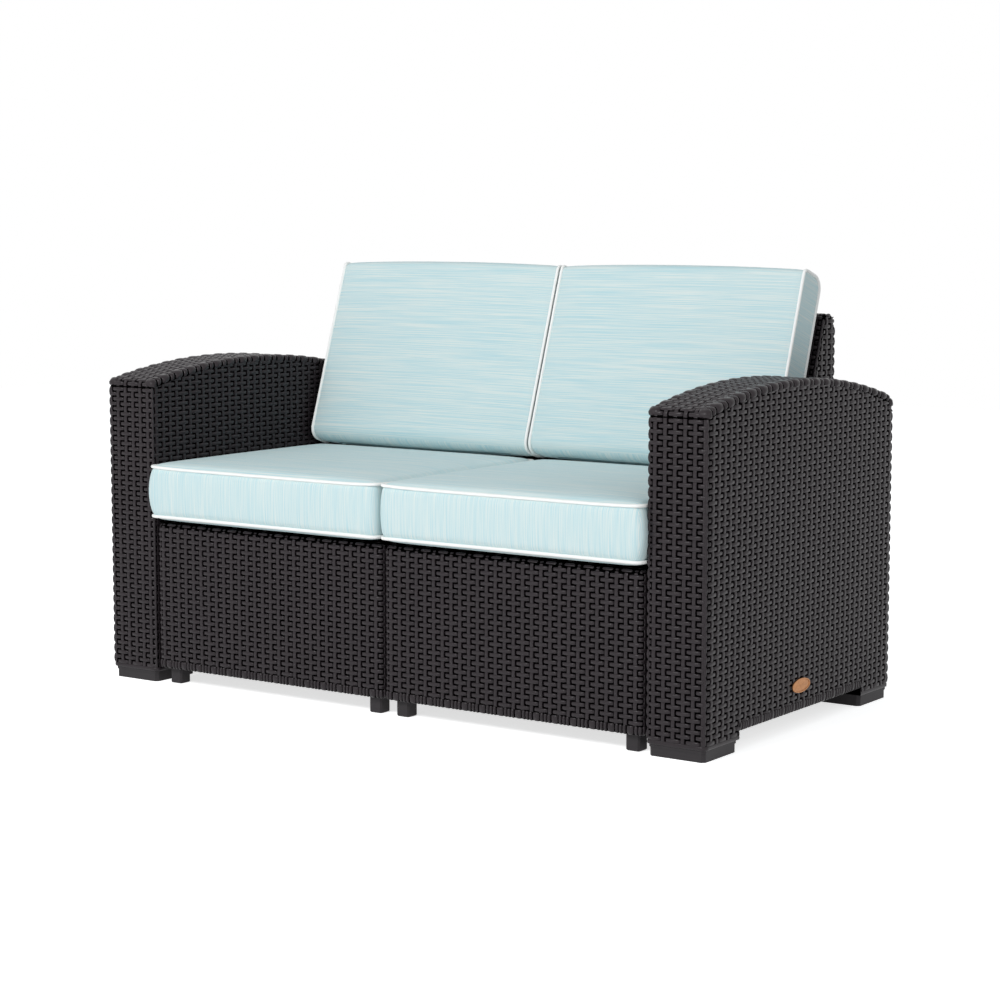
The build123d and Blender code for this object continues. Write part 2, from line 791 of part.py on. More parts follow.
def outline_points(left, right, low, high, bows, radius):
    """Points round a four-sided outline with rounded corners, whose sides bow out, or in."""
    corners = ((right, low), (right, high), (left, high), (left, low))
    points = []
    for index, (x, y) in enumerate(corners):
        heading = math.pi / 2 * (index - 1)
        centre_x = x - math.copysign(radius, x - (left + right) / 2)
        centre_y = y - math.copysign(radius, y - (low + high) / 2)
        for step in range(corner_bends + 1):
            angle = heading + math.pi / 2 * step / corner_bends
            points.append((centre_x + radius * math.cos(angle), centre_y + radius * math.sin(angle)))
        next_x, next_y = corners[(index + 1) % len(corners)]
        normal = heading + math.pi / 2
        for along, out in zip(bow_along_shares, bow_out_shares):
            bow = bows[index] * out
            points.append((
                x + (next_x - x) * along + bow * math.cos(normal),
                y + (next_y - y) * along + bow * math.sin(normal),
            ))
    return points


def placed(plane, points):
    """Points of a plane's own axes set in space."""
    return [plane.from_local_coords(Vector(x, y, 0)) for x, y in points]


def flat_faces(corners):
    """One face through four corners, or two where the four do not lie in one plane."""
    first, second, third, fourth = corners
    out_of_plane = (second - first).cross(third - first).dot(fourth - first)
    if abs(out_of_plane) < flat_tolerance:
        return [Face(Wire.make_polygon(corners))]
    return [Face(Wire.make_polygon([first, second, third])), Face(Wire.make_polygon([third, fourth, first]))]


def stacked(rings):
    """Solid between closed rings of points, one beyond the other, with flat ends."""
    faces = [Face(Wire.make_polygon(rings[0])), Face(Wire.make_polygon(rings[-1]))]
    for ring, following in zip(rings, rings[1:]):
        for index, corner in enumerate(ring):
            faces += flat_faces([ring[index - 1], corner, following[index], following[index - 1]])
    return Solid(Shell(faces))


def welt(plane, seam, side):
    """Closed ring of piping just outside the edge of a seam, mitred at every bend."""
    count = len(seam)
    strands = []
    for share in range(piping_sides):
        angle = 2 * math.pi * (share + 1 / 2) / piping_sides
        out = piping_stand_off + piping_diameter / 2 * math.cos(angle)
        up = side * (piping_stand_off + piping_diameter / 2 * math.sin(angle))
        strand = []
        for index, (x, y) in enumerate(seam):
            before = seam[index - 1]
            after = seam[(index + 1) % count]
            heading_in = math.atan2(y - before[1], x - before[0])
            heading_out = math.atan2(after[1] - y, after[0] - x)
            half_turn = math.remainder(heading_out - heading_in, 2 * math.pi) / 2
            outward = heading_in + half_turn - math.pi / 2
            mitre = out / math.cos(half_turn)
            strand.append(plane.from_local_coords(
                Vector(x + mitre * math.cos(outward), y + mitre * math.sin(outward), up)
            ))
        strands.append(strand)
    faces = []
    for strand, following in zip(strands, strands[1:] + strands[:1]):
        for index in range(count):
            faces += flat_faces([strand[index - 1], strand[index], following[index], following[index - 1]])
    return Solid(Shell(faces))


def seat_outline(inset, bow, scale_share):
    """Plan outline of the seat cushion, drawn in by an inset and then scaled about its middle."""
    half_width = (seat_cushion_width / 2 - inset) * scale_share
    half_length = (seat_cushion_depth / 2 - inset) * scale_share
    bows = [bow * scale_share] * 4
    radius = (seat_cushion_corner_radius - inset) * scale_share
    return outline_points(-half_width, half_width, -half_length, half_length, bows, radius)


def seat_plane(height):
    """Level plane through the seat cushion."""
    return Plane(origin=(seat_centre_x, seat_centre_y, height))


def seat_cushion(allowance):
    """Boxed seat cushion, drawn in all round by an allowance: flat bottom, full boxing, crowned top."""
    low = lower_seam_z
    high = upper_seam_z
    seam_inset = seat_seam_inset + allowance
    seam = seat_outline(seam_inset, seat_seam_bow, 1)
    waist = seat_outline(seat_side_bow + allowance, seat_side_bow, 1)
    bottom = seat_outline(seam_inset, seat_seam_bow, bottom_scale_share)
    rings = [
        placed(seat_plane(low - seat_bottom_drop + allowance), bottom), placed(seat_plane(low), seam),
        placed(seat_plane((low + high) / 2), waist),
    ]
    for scale, rise in zip(crown_scale_shares, crown_rise_shares):
        height = high + (seat_crown - allowance) * rise
        rings.append(placed(seat_plane(height), seat_outline(seam_inset, seat_seam_bow, scale)))
    return stacked(rings)


def seat_core(clearance):
    """Cut foam block inside the seat cushion, with straight sides and a low crown."""
    inset = seat_seam_inset + wadding_thickness + clearance
    low = lower_seam_z + clearance
    high = upper_seam_z - wadding_thickness / 2 - clearance
    crown = seat_crown - wadding_thickness / 2
    rings = [placed(seat_plane(low), seat_outline(inset, seat_seam_bow, 1))]
    for scale, rise in zip(core_scale_shares, core_rise_shares):
        rings.append(placed(seat_plane(high + crown * rise), seat_outline(inset, seat_seam_bow, scale)))
    return stacked(rings)


def seat_piping():
    """Two rings of piping, along the lower and the upper seam of the seat cushion."""
    seam = seat_outline(seat_seam_inset, seat_seam_bow, 1)
    return [welt(seat_plane(lower_seam_z), seam, -1), welt(seat_plane(upper_seam_z), seam, 1)]


def seat_zip_block(allowance):
    """Room of the zip, in the middle of the rear boxing."""
    x_span = (seat_centre_x - seat_cushion_width / 2 + zip_end_margin - allowance,
              seat_centre_x + seat_cushion_width / 2 - zip_end_margin + allowance)
    middle = (lower_seam_z + upper_seam_z) / 2
    reach = zip_thickness + seat_side_bow + allowance
    return block(
        x_span, (seat_rear_y - reach, seat_rear_y + overrun),
        (middle - zip_height / 2 - allowance, middle + zip_height / 2 + allowance),
    )


def back_plane(x):
    """Upright plane across the back cushion at x, leaning with the back rest."""
    reach = soft_clearance + back_rear_crown + back_cushion_depth / 2
    rise = back_cushion_low + back_cushion_height / 2
    y = back_face_y(module_height) - reach * math.cos(rake) + rise * math.sin(rake)
    z = module_height + reach * math.sin(rake) + rise * math.cos(rake)
    return Plane(origin=(x, y, z), x_dir=(0, math.cos(rake), -math.sin(rake)), z_dir=(1, 0, 0))


def back_outline(bulge, allowance):
    """Side outline of the back cushion where it has bulged by a share, drawn in by an allowance."""
    half_depth_here = back_cushion_depth / 2 - allowance
    half_height_here = back_cushion_height / 2 - allowance
    bows = (
        back_gusset_bow + (back_rear_crown - back_gusset_bow) * bulge,
        back_top_bow + back_top_rise * bulge,
        back_gusset_bow + (back_front_crown - back_gusset_bow) * bulge,
        back_bottom_bow,
    )
    high = half_height_here - back_top_bow
    low = -half_height_here + back_bottom_bow
    radius = back_corner_radius - allowance
    return outline_points(-half_depth_here, half_depth_here, low, high, bows, radius)


def back_ring(station, bulge, allowance):
    """Ring round the back cushion at a share of its width."""
    x = back_cushion_inner_gap + allowance + (back_cushion_width - allowance - allowance) * station
    return placed(back_plane(x), back_outline(bulge, allowance))


def back_cushion(allowance):
    """Back cushion, drawn in all round by an allowance: full front and rear between two flat gussets."""
    return stacked([
        back_ring(station, bulge, allowance) for station, bulge in zip(back_station_shares, back_bulge_shares)
    ])


def back_core(clearance):
    """Cut foam block inside the back cushion."""
    return stacked([
        back_ring(station, bulge, wadding_thickness + clearance)
        for station, bulge in zip(back_core_station_shares, back_core_bulge_shares)
    ])


def back_piping():
    """Two rings of piping, round the inner and the outer gusset of the back cushion."""
    seam = back_outline(0, 0)
    inner = back_plane(back_cushion_inner_gap)
    outer = back_plane(back_cushion_inner_gap + back_cushion_width)
    return [welt(inner, seam, -1), welt(outer, seam, 1)]


def back_zip_block(allowance):
    """Room of the zip, along the bottom of the back cushion."""
    reach = zip_thickness + back_bottom_bow + allowance + overrun
    plane = back_plane(back_cushion_inner_gap + back_cushion_width / 2)
    centre = Pos(0, -back_cushion_height / 2 - overrun + reach / 2, 0)
    length = back_cushion_width - zip_end_margin - zip_end_margin + allowance + allowance
    return plane * centre * Box(zip_height + allowance + allowance, reach, length)


def cushion_set(form, core, piping, zip_room):
    """Padded cover, foam core, piping and closed zip of one cushion."""
    outside = form(0)
    closed_zip = (outside - form(zip_thickness)) & zip_room(0)
    cover = outside - core(0) - closed_zip
    return {"cover": cover, "foam": core(slip_fit), "piping": Compound(piping()), "zip": closed_zip}


def whole_sofa():
    """All the pieces of the sofa's right half, by name, before they are mirrored to the left."""
    arm = arm_blank()
    back = back_blank()
    hollow = extrude(back_side(back_wall), module_width - back_wall - back_wall)
    pieces = {
        "arm_SIDE_outer_shell": arm_outer_shell(arm),
        "arm_SIDE_inner_panel": arm_inner_panel(arm),
        "arm_SIDE_cap": arm_cap(arm),
        "arm_SIDE_front_foot": arm_foot(True),
        "arm_SIDE_rear_foot": arm_foot(False),
        "arm_SIDE_keys": arm_keys(),
        "seat_SIDE_skirt": skirt(),
        "seat_SIDE_deck": deck(),
        "seat_SIDE_legs": legs(),
        "back_SIDE_front_shell": back_front_shell(back, hollow),
        "back_SIDE_rear_shell": back_rear_shell(back, hollow),
        "back_SIDE_keys": back_keys(),
    }
    for name, piece in cushion_set(seat_cushion, seat_core, seat_piping, seat_zip_block).items():
        pieces["seat_cushion_SIDE_" + name] = piece
    for name, piece in cushion_set(back_cushion, back_core, back_piping, back_zip_block).items():
        pieces["back_cushion_SIDE_" + name] = piece
    return pieces


os.makedirs("parts", exist_ok=True)
for template, piece in whole_sofa().items():
    export_step(piece, "parts/" + template.replace("SIDE", "right") + ".step")
    export_step(piece.mirror(Plane.YZ), "parts/" + template.replace("SIDE", "left") + ".step")
export_step(module_clips(), "parts/module_clips.step")
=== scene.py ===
import math

import bpy
from bpy.props import FloatProperty, FloatVectorProperty, PointerProperty
from mathutils import Matrix, Vector


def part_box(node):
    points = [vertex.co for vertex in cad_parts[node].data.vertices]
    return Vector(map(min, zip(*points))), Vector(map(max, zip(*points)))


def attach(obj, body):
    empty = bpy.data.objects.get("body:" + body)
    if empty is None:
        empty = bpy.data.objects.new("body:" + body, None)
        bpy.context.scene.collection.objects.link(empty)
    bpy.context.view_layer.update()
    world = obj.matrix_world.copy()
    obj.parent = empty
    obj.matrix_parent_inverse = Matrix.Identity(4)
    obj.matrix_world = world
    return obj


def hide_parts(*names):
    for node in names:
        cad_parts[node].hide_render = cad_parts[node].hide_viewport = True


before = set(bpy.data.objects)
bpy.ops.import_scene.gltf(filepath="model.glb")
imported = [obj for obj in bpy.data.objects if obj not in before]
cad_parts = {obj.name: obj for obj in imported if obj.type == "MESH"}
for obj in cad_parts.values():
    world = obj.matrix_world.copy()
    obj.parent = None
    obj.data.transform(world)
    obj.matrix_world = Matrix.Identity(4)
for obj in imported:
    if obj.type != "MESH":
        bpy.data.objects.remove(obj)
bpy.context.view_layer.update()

bl_info = {
    "name": "Wicker Patio Sofa",
    "version": (1, 0, 0),
    "blender": (4, 5, 0),
    "location": "View3D > Sidebar > Sofa",
    "description": "Builds a two-seat patio sofa of moulded resin wicker with piped cushions",
    "category": "Add Mesh",
}

MM = 0.001
BODY = "frame"

# Places read from the frame, for the right half of the sofa; the left half mirrors it.
ARM_LOW, ARM_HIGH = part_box("arm_right_outer_shell")
SKIRT_LOW, SKIRT_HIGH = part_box("seat_right_skirt")
BACK_LOW, BACK_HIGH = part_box("back_right_front_shell")
REAR_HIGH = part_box("back_right_rear_shell")[1]
ARM_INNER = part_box("arm_right_inner_panel")[0].x
ARM_OUTER = ARM_HIGH.x
ARM_FRONT = ARM_LOW.y
ARM_REAR = ARM_HIGH.y

# Arm: its arch in side view, the height of its belly between the feet, and its corners in plan
ARCH_RADIUS = 1500.0 * MM
ARCH_CREST_Y = ARM_FRONT + 323.0 * MM
ARCH_CREST_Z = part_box("arm_right_cap")[1].z
ARCH_CENTRE_Z = ARCH_CREST_Z - ARCH_RADIUS
ARM_BELLY = 38.0 * MM
ARM_CORNER = 8.0 * MM
CAP_DEPTH = 10.0 * MM
CAP_REAR_DROP = 28.0 * MM
BLOCK_LENGTH = 120.0 * MM
FOOT_TOP = 22.5 * MM
LIP_HEIGHT = 7.0 * MM
# Seat module and back rest
MODULE_CORNER = 9.0 * MM
RIM_RADIUS = 12.5 * MM
RAKE = math.radians(18.7)
BACK_FOOT = SKIRT_HIGH.z + 2.0 * MM
BACK_TOP_DEPTH = 41.0 * MM
BACK_CORNER = 5.0 * MM
# Weave: distance of its first upright strip from an arm's edge, and the border along its foot
WARP_FROM_EDGE = 54.0 * MM
BORDER_HEIGHT = 16.0 * MM
BORDER_MIDDLE = 7.5 * MM
# Cushions
FRONT_OVERHANG = 9.0 * MM
BACK_CUSHION_LOW = 109.6 * MM
CLOTH_CELL = 7.0 * MM
WELT = 6.6 * MM
ZIP_MARGINS = 110.0 * MM
ZIP_STANDOFF = 12.0 * MM


# Helpers for selecting and shaping, as by hand


def deselect_all():
    """Leave edit mode and clear the selection, which starts with the CAD nodes in it."""
    if bpy.context.object and bpy.context.object.mode != "OBJECT":
        bpy.ops.object.mode_set(mode="OBJECT")
    bpy.ops.object.select_all(action="DESELECT")


def make_active(piece):
    deselect_all()
    piece.select_set(True)
    bpy.context.view_layer.objects.active = piece


def pick(piece, wanted, kind="VERT"):
    """Select the vertices, edges or faces whose middle passes a test, and enter edit mode."""
    make_active(piece)
    mesh = piece.data
    bpy.ops.object.mode_set(mode="EDIT")
    bpy.ops.mesh.select_mode(type=kind)
    bpy.ops.mesh.select_all(action="DESELECT")
    bpy.ops.object.mode_set(mode="OBJECT")
    points = mesh.vertices
    if kind == "VERT":
        for vertex in points:
            vertex.select = bool(wanted(vertex.co))
    elif kind == "EDGE":
        for edge in mesh.edges:
            middle = (points[edge.vertices[0]].co + points[edge.vertices[1]].co) / 2
            edge.select = bool(wanted(middle, points[edge.vertices[1]].co - points[edge.vertices[0]].co))
    else:
        for face in mesh.polygons:
            face.select = bool(wanted(face.center, face.normal))
    bpy.ops.object.mode_set(mode="EDIT")


def done_editing():
    bpy.ops.object.mode_set(mode="OBJECT")


def apply_modifier(piece, kind, **settings):
    """Add a modifier with its settings and apply it."""
    make_active(piece)
    modifier = piece.modifiers.new(kind.title(), kind)
    for key, value in settings.items():
        setattr(modifier, key, value)
    bpy.ops.object.modifier_apply(modifier=modifier.name)
    return piece


def settle(piece):
    """Put the place, turn and scale of a piece into its mesh."""
    make_active(piece)
    bpy.ops.object.transform_apply(location=True, rotation=True, scale=True)
    return piece


def moved(piece, place):
    """Put a piece at a place, and the place into its mesh."""
    piece.location = place
    return settle(piece)


def axes_at(origin, across, up, outward):
    """Matrix that stands a flat piece's X, Y and Z along three directions at a place."""
    return Matrix.Translation(Vector(origin)) @ Matrix((across, up, outward)).transposed().to_4x4()


def put(piece, matrix):
    """Turn and place a piece, and put that into its mesh."""
    piece.matrix_world = matrix
    return settle(piece)


def edit_all(piece):
    """Enter edit mode with the whole mesh selected."""
    make_active(piece)
    bpy.ops.object.mode_set(mode="EDIT")
    bpy.ops.mesh.select_all(action="SELECT")


def merged(piece, distance):
    """Merge doubled vertices and point the faces outwards."""
    edit_all(piece)
    bpy.ops.mesh.remove_doubles(threshold=distance)
    bpy.ops.mesh.normals_make_consistent(inside=False)
    done_editing()
    return piece


def turned_over(piece):
    """Point every face of a piece the other way."""
    pick(piece, lambda centre, normal: True, "FACE")
    bpy.ops.mesh.flip_normals()
    done_editing()
    return piece


def repeated(piece, count, step):
    """Repeat a piece a number of times, one step apart."""
    return apply_modifier(
        piece, "ARRAY", fit_type="FIXED_COUNT", count=count, use_relative_offset=False,
        use_constant_offset=True, constant_offset_displace=step,
    )


def copy_of(piece, name):
    """Copy of a piece with its own mesh."""
    twin = piece.copy()
    twin.data = piece.data.copy()
    twin.name = name
    twin.data.name = name
    bpy.context.scene.collection.objects.link(twin)
    return twin


def join(pieces, name):
    deselect_all()
    for piece in pieces:
        piece.select_set(True)
    bpy.context.view_layer.objects.active = pieces[0]
    bpy.ops.object.join()
    piece = bpy.context.object
    piece.name = name
    piece.data.name = name
    return piece


def mirrored(piece, name):
    """Mirror image of a piece across the middle of the sofa, with its faces pointing outwards."""
    twin = copy_of(piece, name)
    twin.scale = (-1, 1, 1)
    return turned_over(settle(twin))


def smooth(piece, degrees):
    make_active(piece)
    bpy.ops.object.shade_smooth_by_angle(angle=math.radians(degrees))


def remove(piece):
    bpy.data.objects.remove(piece, do_unlink=True)


def trim(piece, point, normal, wanted=lambda centre, direction: True):
    """Cut the wanted faces of a piece along a plane and drop what lies on the normal's side."""
    pick(piece, wanted, "FACE")
    bpy.ops.mesh.bisect(plane_co=point, plane_no=normal, clear_outer=True, clear_inner=False)
    done_editing()


def cut(piece, point, normal):
    """Cut a piece along a plane and keep both sides."""
    pick(piece, lambda centre, direction: True, "FACE")
    bpy.ops.mesh.bisect(plane_co=point, plane_no=normal)
    done_editing()


# Materials


def linear(hex_colour):
    """sRGB hex colour turned into linear light, with full alpha."""
    parts = from_hex(hex_colour)
    lit = tuple(part / 12.92 if part <= 0.04045 else ((part + 0.055) / 1.055) ** 2.4 for part in parts)
    return lit + (1.0,)


def to_hex(colour):
    """Panel colour, held as sRGB, as a hex string."""
    return "#" + "".join("%02X" % round(max(0.0, min(1.0, part)) * 255) for part in colour[:3])


def darker(hex_colour, share):
    return to_hex([part * share for part in from_hex(hex_colour)])


def from_hex(hex_colour):
    return tuple(int(hex_colour[index:index + 2], 16) / 255 for index in (1, 3, 5))


def fill_in(node, inputs, links=None):
    """Give a shader node its input values and its incoming links."""
    for key, value in (inputs or {}).items():
        node.inputs[key].default_value = value
    for key, source in (links or {}).items():
        node.id_data.links.new(source, node.inputs[key])
    return node


def add_node(owner, kind, settings=None, inputs=None, links=None):
    """Add one shader node to a material or the world, with its settings, input values and links."""
    made = owner.node_tree.nodes.new(kind)
    for key, value in (settings or {}).items():
        setattr(made, key, value)
    return fill_in(made, inputs, links)


def object_place(material):
    """Place on the piece, for patterns that stay on it as it moves."""
    return add_node(material, "ShaderNodeTexCoord").outputs["Object"]


def fresh_material(name):
    """Material with a Principled shader and nothing else."""
    material = bpy.data.materials.new(name)
    material.use_nodes = True
    material.node_tree.nodes.clear()
    shader = add_node(material, "ShaderNodeBsdfPrincipled")
    add_node(material, "ShaderNodeOutputMaterial", links={"Surface": shader.outputs["BSDF"]})
    return material, shader


def moulded_grain(material, place, scale, roughness, strength, height):
    """Fine grain of a moulded surface: links for the shader's roughness, between two values, and its relief."""
    grain = add_node(material, "ShaderNodeTexNoise", None, {"Scale": scale, "Detail": 2.0}, {"Vector": place})
    rough = add_node(
        material, "ShaderNodeMapRange", None, {"To Min": roughness[0], "To Max": roughness[1]},
        {"Value": grain.outputs["Fac"]})
    bump = add_node(
        material, "ShaderNodeBump", None, {"Strength": strength, "Distance": height},
        {"Height": grain.outputs["Fac"]})
    return {"Roughness": rough.outputs["Result"], "Normal": bump.outputs["Normal"]}


def moulded_wicker_resin(name, light, dark, roughness, gloss=0.2):
    """Polypropylene moulded with a woven surface: satin, with a faint lengthwise grain in each strand."""
    material, shader = fresh_material(name)
    place = object_place(material)
    # Slow tone changes over some 60 mm, as flow in the mould leaves them.
    cloud = add_node(material, "ShaderNodeTexNoise", None, {"Scale": 16.0, "Detail": 3.0}, {"Vector": place})
    tone = add_node(material, "ShaderNodeMix", {"data_type": "RGBA"}, {"A": linear(dark), "B": linear(light)},
                    {"Factor": cloud.outputs["Fac"]})
    # Fine moulded grain, about 0.8 mm, drawn coarser than real so that it shows.
    grain = moulded_grain(material, place, 1250.0, (roughness - 0.06, roughness + 0.08), 0.18, 0.0004)
    fill_in(shader, {"IOR": 1.49, "Specular IOR Level": gloss}, {"Base Color": tone.outputs["Result"], **grain})
    return material


def striated_cushion_cloth(name, pale, deep, spaced_along, rake=0.0):
    """Solution-dyed acrylic cloth: dull, with fine uneven lines where pale and deep threads meet."""
    material, shader = fresh_material(name)
    place = object_place(material)
    # Threads about 1.4 mm apart, coarser than real ones, which lie under 1 mm apart, so that they show.
    # Each changes tone over some 200 mm of its run.
    # Depth into the cushion doesn't count, so the lines stay straight over its swell.
    spacing = [0.0014 if axis == spaced_along else 0.2 for axis in "XYZ"]
    along = add_node(material, "ShaderNodeMapping", {"vector_type": "TEXTURE"},
                     {"Scale": spacing, "Rotation": (-rake, 0.0, 0.0)}, {"Vector": place})
    lines = add_node(material, "ShaderNodeTexNoise", None, {"Scale": 1.0, "Detail": 3.0, "Roughness": 0.7},
                     {"Vector": along.outputs["Vector"]})
    spread = add_node(material, "ShaderNodeMapRange", None, {"From Min": 0.4, "From Max": 0.6},
                      {"Value": lines.outputs["Fac"]})
    tone = add_node(material, "ShaderNodeMix", {"data_type": "RGBA"}, {"A": linear(deep), "B": linear(pale)},
                    {"Factor": spread.outputs["Result"]})
    # Plain cloth weave of about 0.7 mm, coarser than real so that it shows.
    weave = add_node(material, "ShaderNodeTexNoise", None, {"Scale": 1400.0, "Detail": 1.0}, {"Vector": place})
    height = add_node(material, "ShaderNodeMix", {"data_type": "FLOAT"}, {"Factor": 0.6},
                      {"A": lines.outputs["Fac"], "B": weave.outputs["Fac"]})
    bump = add_node(material, "ShaderNodeBump", None, {"Strength": 0.3, "Distance": 0.0005},
                    {"Height": height.outputs["Result"]})
    fill_in(shader, {"Roughness": 0.92, "Sheen Weight": 0.1, "Specular IOR Level": 0.1},
            {"Base Color": tone.outputs["Result"], "Normal": bump.outputs["Normal"]})
    return material


def smooth_plastic(name, colour, roughness):
    """Injection-moulded plastic with a fine spark-eroded grain of about 1.1 mm, drawn coarser than real."""
    material, shader = fresh_material(name)
    place = object_place(material)
    grain = moulded_grain(material, place, 900.0, (roughness - 0.07, roughness + 0.07), 0.12, 0.0003)
    fill_in(shader, {"Base Color": linear(colour), "IOR": 1.5, "Specular IOR Level": 0.2}, grain)
    return material


def corded_piping_cloth(name, colour):
    """White woven cloth wrapped tightly round a cord, with a fine diagonal twill."""
    material, shader = fresh_material(name)
    place = object_place(material)
    twill = add_node(material, "ShaderNodeTexWave", {"wave_type": "BANDS", "bands_direction": "DIAGONAL"},
                     {"Scale": 260.0, "Distortion": 1.2}, {"Vector": place})
    bump = add_node(material, "ShaderNodeBump", None, {"Strength": 0.25, "Distance": 0.0004},
                    {"Height": twill.outputs["Fac"]})
    fill_in(shader, {"Base Color": linear(colour), "Roughness": 0.85}, {"Normal": bump.outputs["Normal"]})
    return material


def cast_bronze(name, light, dark):
    """Small cast bronze plate, brushed and a little dulled outdoors."""
    material, shader = fresh_material(name)
    place = object_place(material)
    patina = add_node(material, "ShaderNodeTexNoise", None, {"Scale": 180.0, "Detail": 4.0}, {"Vector": place})
    tone = add_node(material, "ShaderNodeMix", {"data_type": "RGBA"}, {"A": linear(dark), "B": linear(light)},
                    {"Factor": patina.outputs["Fac"]})
    rough = add_node(material, "ShaderNodeMapRange", None, {"To Min": 0.3, "To Max": 0.5},
                     {"Value": patina.outputs["Fac"]})
    fill_in(shader, {"Metallic": 1.0},
            {"Base Color": tone.outputs["Result"], "Roughness": rough.outputs["Result"]})
    return material


MATERIALS = {}


def material_of(key):
    """Materials are made once, from the panel's colours."""
    if MATERIALS:
        return MATERIALS[key]
    look = bpy.context.scene.sofa_looks
    wicker = to_hex(look.wicker_colour)
    deep = to_hex(look.cloth_colour)
    pale = to_hex(look.thread_colour)
    MATERIALS.update({
        "wicker": moulded_wicker_resin("Moulded Wicker Resin", wicker, darker(wicker, 0.86), 0.3),
        # Painted shade: the frame's shells behind the weave get a near-black, matt resin that stands in for the
        # deep shade in the slits between the strands.
        "painted_shade_backing": moulded_wicker_resin(
            "Wicker Resin In Shade", darker(wicker, 0.06), darker(wicker, 0.03), 0.9, 0.0),
        "deck": moulded_wicker_resin("Plain Moulded Deck Resin", wicker, darker(wicker, 0.86), 0.52),
        "foot": smooth_plastic("Moulded Foot Plastic", "#322F31", 0.5),
        "hidden": smooth_plastic("Moulded Connector Plastic", "#4A4749", 0.5),
        "cloth_x": striated_cushion_cloth("Acrylic Cloth Spaced Across", pale, deep, "X"),
        "cloth_y": striated_cushion_cloth("Acrylic Cloth Spaced Back", pale, deep, "Y"),
        "cloth_z": striated_cushion_cloth("Acrylic Cloth Spaced Up", pale, deep, "Z", RAKE),
        "piping": corded_piping_cloth("Corded White Piping", to_hex(look.piping_colour)),
        "zip": smooth_plastic("Woven Zip Tape", darker(deep, 0.8), 0.7),
        "bronze": cast_bronze("Cast Bronze Plate", "#C08A5E", "#8C5F3C"),
    })
    return MATERIALS[key]


def finish_piece(piece, material_key, body=BODY, degrees=50):
    """Settle a piece, give it its finish and let it ride on a body."""
    settle(piece)
    smooth(piece, degrees)
    piece.data.materials.clear()
    piece.data.materials.append(material_of(material_key))
    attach(piece, body)
    return piece


def finish_both(piece, name, material_key, body=BODY, degrees=50):
    """Finish a piece of the right half, and its mirror image on the left half."""
    piece.name = name
    piece.data.name = name
    twin = mirrored(piece, name.replace("right", "left"))
    finish_piece(piece, material_key, body, degrees)
    finish_piece(twin, material_key, body.replace("right", "left"), degrees)
    return piece, twin


def finish_woven(piece, name):
    """Finish a woven piece of the frame on both halves."""
    return finish_both(piece, name, "wicker")


# Wicker: one tile of the weave, laid flat with rows along X, columns along Y and the outside up +Z


def strand(name, length, width, height, stations, rows=((0.5, 0.0), (0.42, 0.7), (0.2, 1.0))):
    """Domed strand along X: stations give (share of length, share of width, share of height)."""
    count = len(stations)
    bpy.ops.mesh.primitive_grid_add(x_subdivisions=count - 1, y_subdivisions=len(rows) * 2 - 1, size=1)
    piece = bpy.context.object
    piece.name = name
    across = [-share for share, rise in rows] + [share for share, rise in reversed(rows)]
    rises = [rise for share, rise in rows] + [rise for share, rise in reversed(rows)]
    for index, vertex in enumerate(piece.data.vertices):
        station = stations[index % count]
        row = index // count
        vertex.co = (
            station[0] * length, across[row] * width * station[1],
            height * (rises[row] * station[2] if station[2] > 0 else station[2]),
        )
    return piece


def weave_tile():
    """Two rows by two columns of plain weave: level bars passing over and under upright strips."""
    size = bpy.context.scene.sofa_sizes
    pitch = size.column_pitch
    row = size.row_pitch
    # A bar is full where it crosses its strip; its ends dip, and leave the dark slits beside the strips.
    bar_stations = (
        (-0.5, 0.7, -0.2), (-0.46, 0.9, 0.42), (-0.32, 1.0, 0.82), (0.0, 1.0, 1.0),
        (0.32, 1.0, 0.82), (0.46, 0.9, 0.42), (0.5, 0.7, -0.2),
    )
    pieces = []
    for column, level in ((0.0, 0.0), (pitch, row)):
        bar = strand("bar", size.bar_length, size.bar_height, size.relief, bar_stations,
                     ((0.5, -0.25), (0.46, 0.45), (0.34, 0.85), (0.12, 1.0)))
        pieces.append(moved(bar, (column, level, 0)))
    strip_stations = [
        (part, 1.0, high) for part, high in ((-0.5, 0.1), (-0.25, 0.72), (0.0, 1.0), (0.25, 0.72), (0.5, 0.1))]
    for column, level in ((0.0, row), (pitch, 0.0)):
        strip = strand("strip", row * 2, size.strip_width, size.relief * 0.86, strip_stations,
                       ((0.5, -0.1), (0.44, 0.88), (0.2, 1.0)))
        strip.rotation_euler = (0, 0, math.pi / 2)
        pieces.append(moved(strip, (column, level, 0)))
    return join(pieces, "weave_tile")


TILES = {}


def woven_sheet(name, width, height, first_column=0.0, first_row=0.0):
    """Flat sheet of weave over 0..width by 0..height, trimmed square, with a bar on the first place."""
    size = bpy.context.scene.sofa_sizes
    if "tile" not in TILES:
        TILES["tile"] = weave_tile()
    sheet = copy_of(TILES["tile"], name)
    step_x = size.column_pitch * 2
    step_y = size.row_pitch * 2
    moved(sheet, (first_column % step_x - step_x, first_row % step_y - step_y, 0))
    # Two tiles more than the sheet holds, so that it is full after its first tile is set back.
    repeated(sheet, math.ceil(width / step_x) + 2, (step_x, 0, 0))
    repeated(sheet, math.ceil(height / step_y) + 2, (0, step_y, 0))
    for point, normal in (
        ((0, 0, 0), (-1, 0, 0)), ((width, 0, 0), (1, 0, 0)),
        ((0, 0, 0), (0, -1, 0)), ((0, height, 0), (0, 1, 0)),
    ):
        trim(sheet, point, normal)
    return sheet


def stand_up(sheet, origin, across, outward):
    """Turn a flat sheet so that its X runs along across and its Z points outward, and place its corner."""
    across = Vector(across)
    outward = Vector(outward)
    return put(sheet, axes_at(origin, across, outward.cross(across), outward))


def arch_z(y, drop=0.0):
    """Height of the arm's arch at a depth, lowered towards its centre by drop."""
    run = y - ARCH_CREST_Y
    return ARCH_CENTRE_Z + math.sqrt((ARCH_RADIUS - drop) ** 2 - run ** 2)


